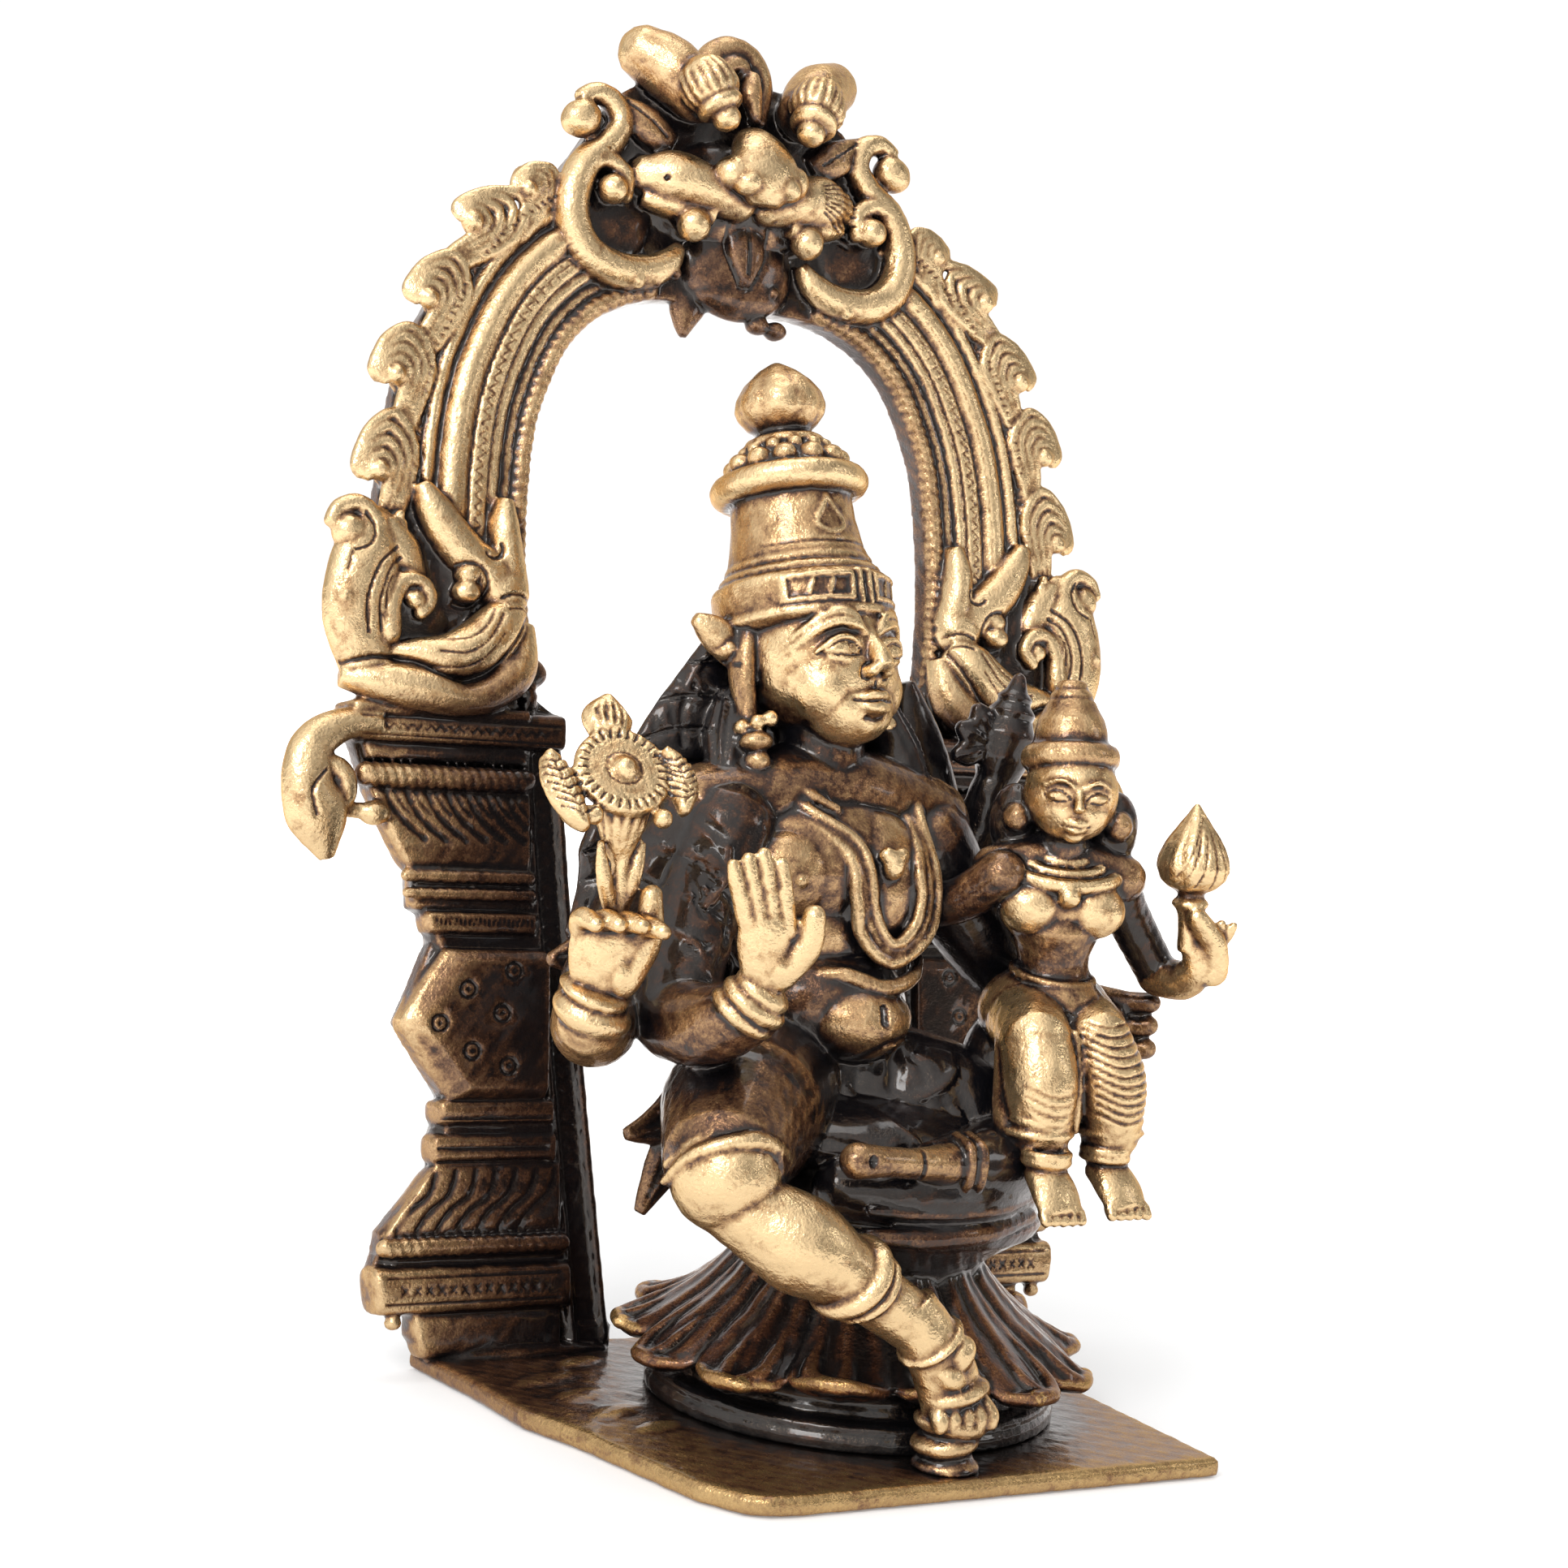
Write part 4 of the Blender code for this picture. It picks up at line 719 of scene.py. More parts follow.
def monster(wax):
    """The makara, a sea monster on the capital, whose open mouth holds the band."""
    wax.tone = BROWN
    wax.ball((30.4, 0.0, 60.0), (5.4, 1.5, 6.6), fine=18)
    wax.ball((25.4, 0.0, 61.0), (4.4, 1.5, 4.6), fine=18)
    wax.ball((26.5, 0.0, 54.6), (9.0, 1.6, 2.8), fine=18)
    wax.tone = GOLD
    # the lower jaw, with the fillet that joins it to the capital
    wax.blade(
        [(36.0, -0.8, 53.2), (33, -1.4, 52.9), (29.2, -1.9, 52.4), (26.4, -1.9, 51.8), (23.6, -1.8, 52.6),
         (21.2, -1.5, 54.8), (20.3, -1.1, 58.4)],
        [0.9, 1.6, 1.8, 1.4, 1.7, 1.9, 1.0], [1.0, 2.0, 2.3, 2.3, 2.2, 1.9, 1.0], TOWARD,
    )
    # the lip that rolls back over it
    wax.blade(
        [(32.0, -1.5, 55.4), (29.6, -2.0, 55.3), (27.2, -2.3, 55.2), (24.8, -2.4, 56.2), (22.8, -2.2, 58.0),
         (21.2, -1.7, 59.6)],
        [0.6, 1.3, 1.9, 2.2, 2.1, 1.2], [0.9, 1.5, 1.9, 2.0, 1.8, 1.1], TOWARD,
    )
    # the great feather of the tail, with its scroll
    wax.blade(
        [(33.6, -1.2, 53.9), (34.6, -1.4, 57.8), (34.4, -1.5, 61.4), (33.8, -1.3, 64.4), (32.6, -0.9, 66.6)],
        [2.4, 3.05, 3.0, 2.3, 0.9], [1.4, 1.7, 1.8, 1.5, 0.8], TOWARD,
    )
    wax.tone = BROWN + 0.1
    wax.tube(on_front([(32.4, 70.4), (31.6, 67.4), (30.2, 64.6), (28.4, 62.0)], 0.5), [0.5, 0.6, 0.6, 0.5])
    wax.tone = GOLD
    wax.tube(on_front([(33.0, 63.6), (33.5, 65.6), (34.9, 66.9), (36.5, 66.5), (37.2, 65.4)], 1.6),
             [1.0, 0.95, 0.8, 0.7, 0.6])
    wax.ball((35.7, -1.6, 64.6), (1.45, 1.3, 1.4))
    wax.blade(on_front([(32.6, 65.8), (31.2, 63.6), (29.9, 61.0)], 1.1), [1.0, 1.7, 1.1], [1.1, 1.3, 1.0],
              TOWARD)
    wax.tube(
        on_front([(32.4, 56.8), (32.2, 59.4), (31.2, 61.0), (29.6, 60.9), (28.9, 59.6), (29.7, 58.5)], 2.2),
        [1.0, 0.85, 0.7, 0.66, 0.62, 0.6],
    )
    wax.ball((30.3, -2.3, 59.5), 0.75)
    # eye, bead and the two horns of the mouth that the band rises from
    wax.ball((25.7, -2.0, 61.9), (1.05, 1.1, 0.8))
    wax.ball((25.8, -2.1, 60.5), (1.2, 1.2, 0.95))
    wax.ball((36.4, -2.9, 59.3), 0.42, fine=6)
    wax.blade(
        on_front([(29.5, 69.2), (28.4, 67.2), (27.0, 65.2), (25.2, 63.4), (22.8, 61.8)], 1.2),
        [0.7, 1.5, 1.8, 1.9, 2.2], [0.8, 1.4, 1.7, 1.8, 1.7], TOWARD,
    )
    wax.blade(
        on_front([(22.0, 68.6), (22.2, 66.4), (22.0, 64), (21.5, 61.2)], 1.2),
        [0.7, 1.3, 1.5, 1.6], [0.8, 1.5, 1.7, 1.5], TOWARD,
    )
    wax.ball((22.2, -1.4, 60.9), (2.2, 1.7, 2.4))
    for k in range(6):
        wax.ball((31.4 - 0.28 * k, -1.7 + 0.1 * k, 66.4 - 0.75 * k), 0.42, fine=6)
    lines = [
        (curve([(36.9, 53.9), (33.6, 54.7), (30.4, 54.5), (28.6, 53.6), (26.2, 53.2), (24.0, 54.2),
                (22.0, 56.6), (20.6, 58.8)], 6), 0.3, 0.32),
        (curve([(34.4, 56.6), (34.6, 59.2), (33.6, 62.0), (31.8, 63.6)], 6), 0.22, 0.26),
        (curve([(33.3, 56.8), (33.5, 59.2), (32.6, 61.8), (31.4, 62.8)], 6), 0.2, 0.2),
        (curve([(33.0, 58.6), (32.9, 60.2), (32.4, 61.2)], 4), 0.14, 0.12),
        (curve([(28.6, 55.4), (26.4, 55.4), (24.6, 56.6), (23.2, 58.8)], 6), 0.2, 0.16),
        (curve([(27.8, 56.4), (26.2, 56.6), (24.8, 57.6), (23.8, 59.2)], 6), 0.16, 0.13),
        (curve([(29.4, 54.2), (26.8, 54.2), (24.8, 55.2), (23.2, 57.2)], 6), 0.16, 0.12),
        (curve([(34.5, 66.2), (33.9, 65.0), (34.3, 63.6), (35.6, 63.0)], 6), 0.2, 0.26),
        (circle((23.6, 64.2), 0.85, 150, 330, 12), 0.24, 0.3),
        (curve([(20.2, 60.2), (21.6, 60.6), (23.0, 60.2)], 4), 0.22, 0.25),
        (curve([(20.2, 59.0), (21.4, 59.4), (22.6, 59.2)], 4), 0.18, 0.2),
        (curve([(36.2, 61.4), (35.8, 63.0)], 4), 0.16, 0.12),
        (circle((25.8, 61.1), 1.75, 60, 300, 12), 0.24, 0.25),
    ]
    wax.cut(lines, -6.0, 0.2)


def flame(wax, root, shoulder, curl):
    """A leaf of the border, like a wave that breaks outwards: nested ridges from root to curl."""
    root = Vector(root)
    centre = Vector(curl)
    up = (Vector(shoulder) - centre).normalized()
    inner = Vector((-up.y, up.x))
    if inner.dot(root - centre) < 0:
        inner = -inner
    reach = (Vector(shoulder) - centre).length
    size = min(1.0, reach / 4.4)
    wax.tone = GOLD
    wax.ball((centre.x, -1.3, centre.y), 0.85 * size)
    for k in range(4):
        wide_in = (0.95 + 0.64 * k) * size
        tall = 1.35 * size + (reach - 1.5 * size) * k / 3.0
        wide_out = (0.9 + 0.34 * k) * size
        path = []
        for a, b in ((-0.7 * wide_out, -0.9), (-wide_out, 0.0), (-0.85 * wide_out, 0.6 * tall), (0.1, tall),
                     (0.85 * wide_in, 0.62 * tall), (wide_in, 0.0), (1.3 + 0.5 * k, -2.4),
                     (1.9 + 0.4 * k, -4.4)):
            at = centre + inner * a + up * b
            path.append((at.x, -1.2 + 0.12 * k if b > -1 else -0.7 if b > -3 else -0.2, at.y))
        radius = 0.45 * size
        wax.tube(path, [0.6 * radius, radius, radius, radius * 1.1, radius, radius, radius, 0.6 * radius],
                 sides=14, steps=6)
    middle = centre + up * reach * 0.3 + inner * 0.8
    wax.ball((middle.x, -0.1, middle.y), (1.9, 0.8, 2.7), (0, -math.degrees(math.atan2(up.x, up.y)), 0))


def band(wax):
    """The ribbed band of the arch with its rope edge, and the flame leaves outside it."""
    wax.tone = BRONZE - 0.06
    wax.rope(on_front(along_inner(0.85, 52), 0.15), 0.8, 0.9, 0.09)
    wax.tone = BROWN + 0.04
    for offset, wide in ((3.1, 2.4), (7.0, 3.6)):
        line = along_inner(offset)
        wax.blade(on_front(line, 0.0), [wide] * len(line), [0.6] * len(line), TOWARD, sides=40, steps=3)
    wax.tone = BRONZE
    wax.beads(on_front(along_inner(2.25), 0.4), 0.36, 0.55)
    wax.tube(on_front(along_inner(2.25), 0.3), 0.33, steps=2)
    wax.tone = GOLD
    wax.tube(on_front(along_inner(3.45), 0.6), 0.42, steps=2)
    for offset, wide, deep in ((6.95, 1.25, 1.25), (4.8, 1.25, 0.85)):
        line = along_inner(offset)
        wax.blade(on_front(line, 0.35), [wide] * len(line), [deep] * len(line), TOWARD, sides=40, steps=3)
    wax.tube(on_front(along_inner(9.2), 0.45), 0.55, steps=2)
    wax.beads(on_front(along_inner(9.3), 0.85), 0.26, 0.5)
    wax.tone = BRONZE
    wax.tube(on_front(along_inner(10.35), 0.25), 0.45, steps=2)
    lines = [(along_inner(4.0), 0.14, 0.1), (along_inner(5.6), 0.16, 0.12), (along_inner(6.4), 0.1, 0.06)]
    # a row of small crosses between its lines, and notches on the outer cord
    for i, at in enumerate(even([(*p, 0) for p in along_inner(4.8)], 0.5)):
        shift = 0.28 if i % 2 else -0.28
        lines.append(([(at.x + shift, at.y), (at.x - shift, at.y + 0.4)], 0.16, 0.11))
    for at in even([(*p, 0) for p in along_inner(10.4)], 0.7):
        lines.append(([(at.x - 0.2, at.y), (at.x + 0.2, at.y + 0.1)], 0.16, 0.1))
    for leaf in FLAMES:
        flame(wax, *leaf)
    wax.cut(lines, -1.95, 0.3)


def crown_scrolls(wax):
    """The C-scroll beside the lion mask, with the curl inside it and the curl on top."""
    wax.tone = BROWN - 0.06
    wax.ball((12.0, -0.1, 94.6), (3.6, 0.5, 4.6), fine=16)
    wax.tone = GOLD
    wax.blade(
        on_front([(15.6, 103.2), (14.0, 104.0), (12.4, 103.4), (11.8, 101.6), (13.0, 99.6), (15.0, 97.8),
                  (16.1, 95.2), (16.1, 92.6), (14.9, 90.4), (12.4, 89.2), (9.4, 89.3), (7.2, 90.4),
                  (6.0, 92.0)], 1.0),
        [0.8, 0.95, 1.05, 1.1, 1.25, 1.4, 1.5, 1.55, 1.55, 1.55, 1.45, 1.2, 0.6],
        [0.8, 1.0, 1.1, 1.2, 1.3, 1.45, 1.5, 1.5, 1.5, 1.5, 1.4, 1.2, 0.7], TOWARD,
    )
    wax.ball((15.4, -1.0, 101.6), (1.85, 1.5, 1.6), (0, 25, 0))
    wax.tube(
        on_front([(16.2, 96.0), (15.0, 97.6), (13.2, 98.2), (11.6, 97.3), (11.5, 95.4)], 1.5),
        [0.9, 0.9, 0.85, 0.8, 0.7],
    )
    wax.ball((12.8, -1.9, 95.7), (1.35, 1.3, 1.3))
    wax.ball((10.3, -1.8, 88.2), 0.6, fine=7)
    wax.cut([
        (circle((15.4, 101.5), 1.95, 120, 300, 12), 0.2, 0.25),
        (curve([(7.6, 90.8), (9.4, 90.1), (12.0, 90.1), (14.4, 91.8), (15.2, 94.0)], 5), 0.18, 0.08),
    ], -6.0, 0.2)


def lion_mask(wax):
    """The kirtimukha, the lion face at the top of the arch."""
    wax.tone = BROWN + 0.08
    wax.ball((0, 0.1, 99.5), (12.5, 1.2, 7.5), fine=24)
    wax.ball((0, -0.6, 97.0), (8.0, 2.2, 5.0), fine=24)
    wax.tone = BROWN - 0.08
    wax.ball((0, -0.1, 91.0), (5.4, 1.8, 4.6), fine=20)
    lines = []
    for side in (-1, 1):
        # the bulging eye with the ribbed acorn on it
        wax.tone = BRONZE + 0.08
        wax.tube([(side * 9.2, -0.6, 108.4), (side * 7.4, -1.4, 107.2), (side * 5.4, -2.8, 105.0)],
                 [2.4, 2.8, 2.6], sides=32)
        wax.tone = GOLD
        upright = wax.frame
        wax.frame = upright @ aim((side * 5.2, -5.0, 104.6), (-side * 1.3, -1.0, -3.0))
        wax.turned(
            [(0, 3.9), (0.7, 3.75), (1.15, 3.3), (1.25, 2.8), (1.15, 2.4), (1.6, 2.2), (2.05, 1.9),
             (2.1, 1.5), (1.9, 1.2), (2.0, 0.9), (2.25, 0.2), (2.2, -0.9), (1.8, -2.2), (1.0, -3.0),
             (0, -3.2)],
            (0, 0, 0), lobes=17, depth=0.16, between=(-2.8, 1.1),
        )
        wax.frame = upright
        # cheek, tusk and ear
        wax.tube(
            [(side * 9.2, -1.2, 97.6), (side * 7.2, -1.9, 97.4), (side * 4.6, -2.6, 96.8),
             (side * 1.4, -3.0, 96.0)],
            [1.8, 2.5, 2.2, 1.6], sides=28,
        )
        wax.blade([(side * 9.8, -1.2, 95.6), (side * 7.0, -2.0, 95.0), (side * 3.6, -2.8, 94.6)],
                  [0.7, 1.0, 0.8], [0.9, 1.3, 1.0], TOWARD)
        wax.tube([(side * 5.2, -1.8, 94.8), (side * 5.6, -2.8, 93.5)], [1.3, 1.5])
        wax.tone = BROWN + 0.1
        wax.blade(
            [(side * 7.0, -0.8, 100.6), (side * 9.4, -1.2, 102.0), (side * 12.0, -0.8, 104.0)],
            [1.3, 1.7, 0.5], [0.9, 1.1, 0.5], TOWARD,
        )
        lines.append(([(side * 7.8, 101.0), (side * 11.4, 103.6)], 0.18, 0.25))
        wax.tone = GOLD
        wax.ball((side * 2.6, -4.6, 97.9), (1.9, 1.7, 1.6))
    # the fan at the end of one cheek
    for k in range(8):
        z = 94.4 + 0.8 * k
        lines.append(([(11.0, z), (6.4, lerp(z, 97.2, 0.6))], 0.16, 0.2))
    lines.append((circle((-8.6, 96.9), 0.08, count=5), 0.26, 0.5))
    # snout
    wax.blade([(0, -2.6, 101.8), (0, -3.8, 100.6), (0, -4.8, 99.2), (0, -5.2, 97.4), (0, -5.0, 95.4)],
              [1.7, 2.5, 3.1, 3.3, 1.4], [1.3, 1.7, 1.8, 1.7, 1.0], TOWARD)
    for side in (-1, 1):
        wax.ball((side * 1.9, -5.7, 96.9), (1.3, 1.2, 1.0), (0, side * 25, 0))
    # curls of the forelock between the eyes
    wax.tone = BROWN + 0.16
    wax.ball((-1.2, 0.2, 106.8), (3.4, 1.6, 3.2), fine=18)
    wax.tube([(-3.8, -0.6, 106.2), (-3.4, -1.0, 108.6), (-1.6, -1.2, 109.8), (0.5, -1.2, 109.2),
              (1.6, -1.3, 107.0), (1.2, -1.8, 104.0)], [1.0, 1.25, 1.3, 1.35, 1.2, 0.8])
    wax.tube([(-2.4, -1.6, 106.4), (-1.9, -2.0, 108.1), (-0.7, -2.1, 108.3), (-0.3, -2.0, 107.0)],
             [0.6, 0.8, 0.75, 0.6])
    wax.tube([(0.2, -2.6, 107.2), (-0.2, -3.0, 105.6), (0.2, -3.2, 103.6)], [0.7, 1.0, 0.6])
    # tongue and chin, and the drips of metal under the edge
    wax.tone = BROWN - 0.12
    wax.blade([(0, -1.6, 94.4), (0, -2.0, 92.0), (0, -1.8, 89.2)], [1.4, 1.8, 0.6], [0.6, 0.7, 0.5], TOWARD)
    lines.append(([(0, 94.0), (0, 90.2)], 0.24, 0.25))
    lines.append((curve([(-1.9, 94.6), (-1.9, 92.0), (-0.5, 89.0)], 5), 0.24, 0.25))
    lines.append((curve([(1.9, 94.6), (1.9, 92.0), (0.5, 89.0)], 5), 0.24, 0.25))
    wax.ball((0, -0.2, 88.6), (4.4, 1.5, 1.9))
    for x, z, r in ((-6.6, 89.4, 0.55), (-8.4, 88.3, 0.38), (3.1, 89.0, 0.4)):
        wax.ball((x, -1.5, z), r, fine=6)
    wax.blade([(-4.2, 0.6, 88), (-4.6, 0.6, 86.4), (-4.9, 0.4, 84.6)], [2.0, 1.4, 0.35], [0.8, 0.8, 0.4],
              TOWARD)
    for x, z in ((2.2, 86.4), (4.0, 86.1)):
        wax.ball((x, 0, z), (1.1, 0.95, 0.85))
    wax.cut(lines, -9.0, 0.2)


def arch():
    """The prabhavali: slab, mouldings, monsters, band and scrolls on both sides, and the lion mask."""
    stand = Matrix.Translation((0, ARCH_FOOT_Y, STAND_Z))
    leaning = stand @ Matrix.Rotation(math.radians(-ARCH_LEAN), 4, "X") @ Matrix.Scale(UNIT, 4)
    wax = Wax(leaning)
    outline = INNER_EDGE + curve(INNER_ARCH, 5) + curve(OUTER_ARCH, 5) + PILLAR_OUTER
    for mirror in (-1, 1):
        wax.frame = leaning @ Matrix.Scale(-1, 4, (1, 0, 0)) if mirror < 0 else leaning
        wax.tone = BROWN - 0.06
        wax.slab(outline, 0, ARCH_SLAB)
        pillar(wax)
        monster(wax)
        band(wax)
        crown_scrolls(wax)
    lion_mask(wax)
    # the feet below the leaning slab stand upright on the plate, in a fillet of solder
    wax.frame = stand @ Matrix.Scale(UNIT, 4)
    wax.tone = BROWN
    for side in (-1, 1):
        wax.slab([(side * 11.2, -SINK), (side * 11.2, 1.6), (side * 27.4, 1.6), (side * 27.4, -SINK)], 0,
                 ARCH_SLAB)
        wax.tone = BRONZE
        wax.tube([(side * 12.0, -0.2, -0.5), (side * 18, -0.5, -0.4), (side * 24, -0.3, -0.4),
                  (side * 27.0, 0.2, -0.5)],
                 [0.5, 1.0, 0.8, 0.5])

    def fade(points):
        """The pillars keep their patina towards the inner edge, and the back keeps it all over."""
        across = np.abs(points[:, 0])
        high = points[:, 2]
        inner = np.clip((across - 15.5 - 0.04 * high) / 13.5, 0, 1)
        inner = 0.16 + 0.84 * inner ** 1.5
        low = np.clip((58.0 - high) / 4.5, 0, 1)
        front = 1 - low * (1 - inner)
        behind = points[:, 1] - (ARCH_FOOT_Y / UNIT + 0.176 * high)
        return 0.95 * front * np.where(behind > 0.9, 0.62, 1.0)

    return cast(wax, "prabhavali", material("patinated_brass_cast", PATINATED, 0.5), fade=fade)


# The deity group, in units of its own: the ring stands at z = 0 and the crown's tip is at z = 80.6

def lotus_seat():
    """Stepped ring, drooping petals, waist and seat."""
    wax = Wax(Matrix.Translation((SEAT_OFFSET * UNIT, 0, STAND_Z)) @ Matrix.Scale(UNIT, 4))
    wax.tone = BLACK + 0.08
    wax.turned(
        [(0, 14), (9, 14), (9.4, 10), (11.4, 7.0), (14.0, 4.9), (15.0, 4.3), (15.2, 3.9), (14.5, 3.5),
         (14.3, 2.9), (14.6, 2.4), (14.7, 1.9), (15.6, 1.7), (15.95, 1.4), (15.9, 0.9), (SEAT_RADIUS, 0.6),
         (SEAT_RADIUS, -SINK), (0, -SINK)], (0, 0, 0),
    )
    wax.turned(
        [(0, 20.6), (11.0, 20.2), (12.4, 19.6), (13.0, 19.0), (13.6, 18.2), (13.8, 17.4), (13.5, 16.6),
         (13.4, 16.0), (13.9, 15.6), (14.0, 15.2), (13.6, 14.4), (12.6, 13.8), (11.4, 13.0), (9.8, 11.8),
         (9.2, 10.4), (8.8, 8), (0, 8)],
        (0, 0, 0),
    )
    for k in range(PETALS):
        angle = math.tau * (k + 0.5) / PETALS
        out = Vector((math.cos(angle), math.sin(angle), 0))
        side = Vector((-out.y, out.x, 0))
        rise = Vector((0, 0, 1))
        droop = 0.75 * math.sin(3 * angle + 1) + 0.45 * math.sin(7 * k + 2)
        path = [(8.0, 13.0), (9.4, 10.2), (11.6, 7.6), (14.4, 5.4), (16.8, 4.1 + droop / 2),
                (18.3, 3.9 + droop)]
        path = [out * r + rise * z for r, z in path]
        wax.tone = BLACK + 0.26
        wax.blade(path, [1.6, 2.3, 3.1, 3.9, 3.7, 1.5], [0.9, 1.0, 1.1, 1.1, 0.9, 0.6], out * 0.45 + rise,
                  ribs=3, rib=0.1, sides=48)
        # the folds that run down to a thick turned-up lip
        wax.tone = BROWN - 0.12
        for lean in ((-0.75, 0.3), (-0.2, 0.8), (-0.8, 0.1))[k % 3]:
            wax.tube(
                [path[2] + side * lean * 1.6 + rise * 0.5, path[3] + side * lean * 2.6 + rise * 0.7,
                 path[4] + side * lean * 2.7 + rise * 0.6, path[5] + side * lean * 1.3 + rise * 0.3],
                [0.35, 0.6, 0.75, 0.7],
            )
        wax.tone = (BROWN + 0.04, BROWN + 0.16, BROWN - 0.04, BROWN + 0.1)[k % 4]
        wax.tube(
            [path[4] - side * 3.3 + rise * 0.1, path[5] - side * 1.5 + rise * 0.35,
             path[5] + out * 0.3 + rise * 0.4,
             path[5] + side * 1.5 + rise * 0.35, path[4] + side * 3.3 + rise * 0.1],
            [0.35, 0.55, 0.65, 0.5, 0.35],
        )
        wax.tone = BRONZE
        wax.ball(path[5] + side * (1.5 if k % 2 else -1.1) + rise * 0.4, (0.8, 0.8, 0.6), fine=8)
    return cast(wax, "lotus_seat", material("lotus_brass_cast", DARK, 0.65), int(TRIANGLES * 0.85))


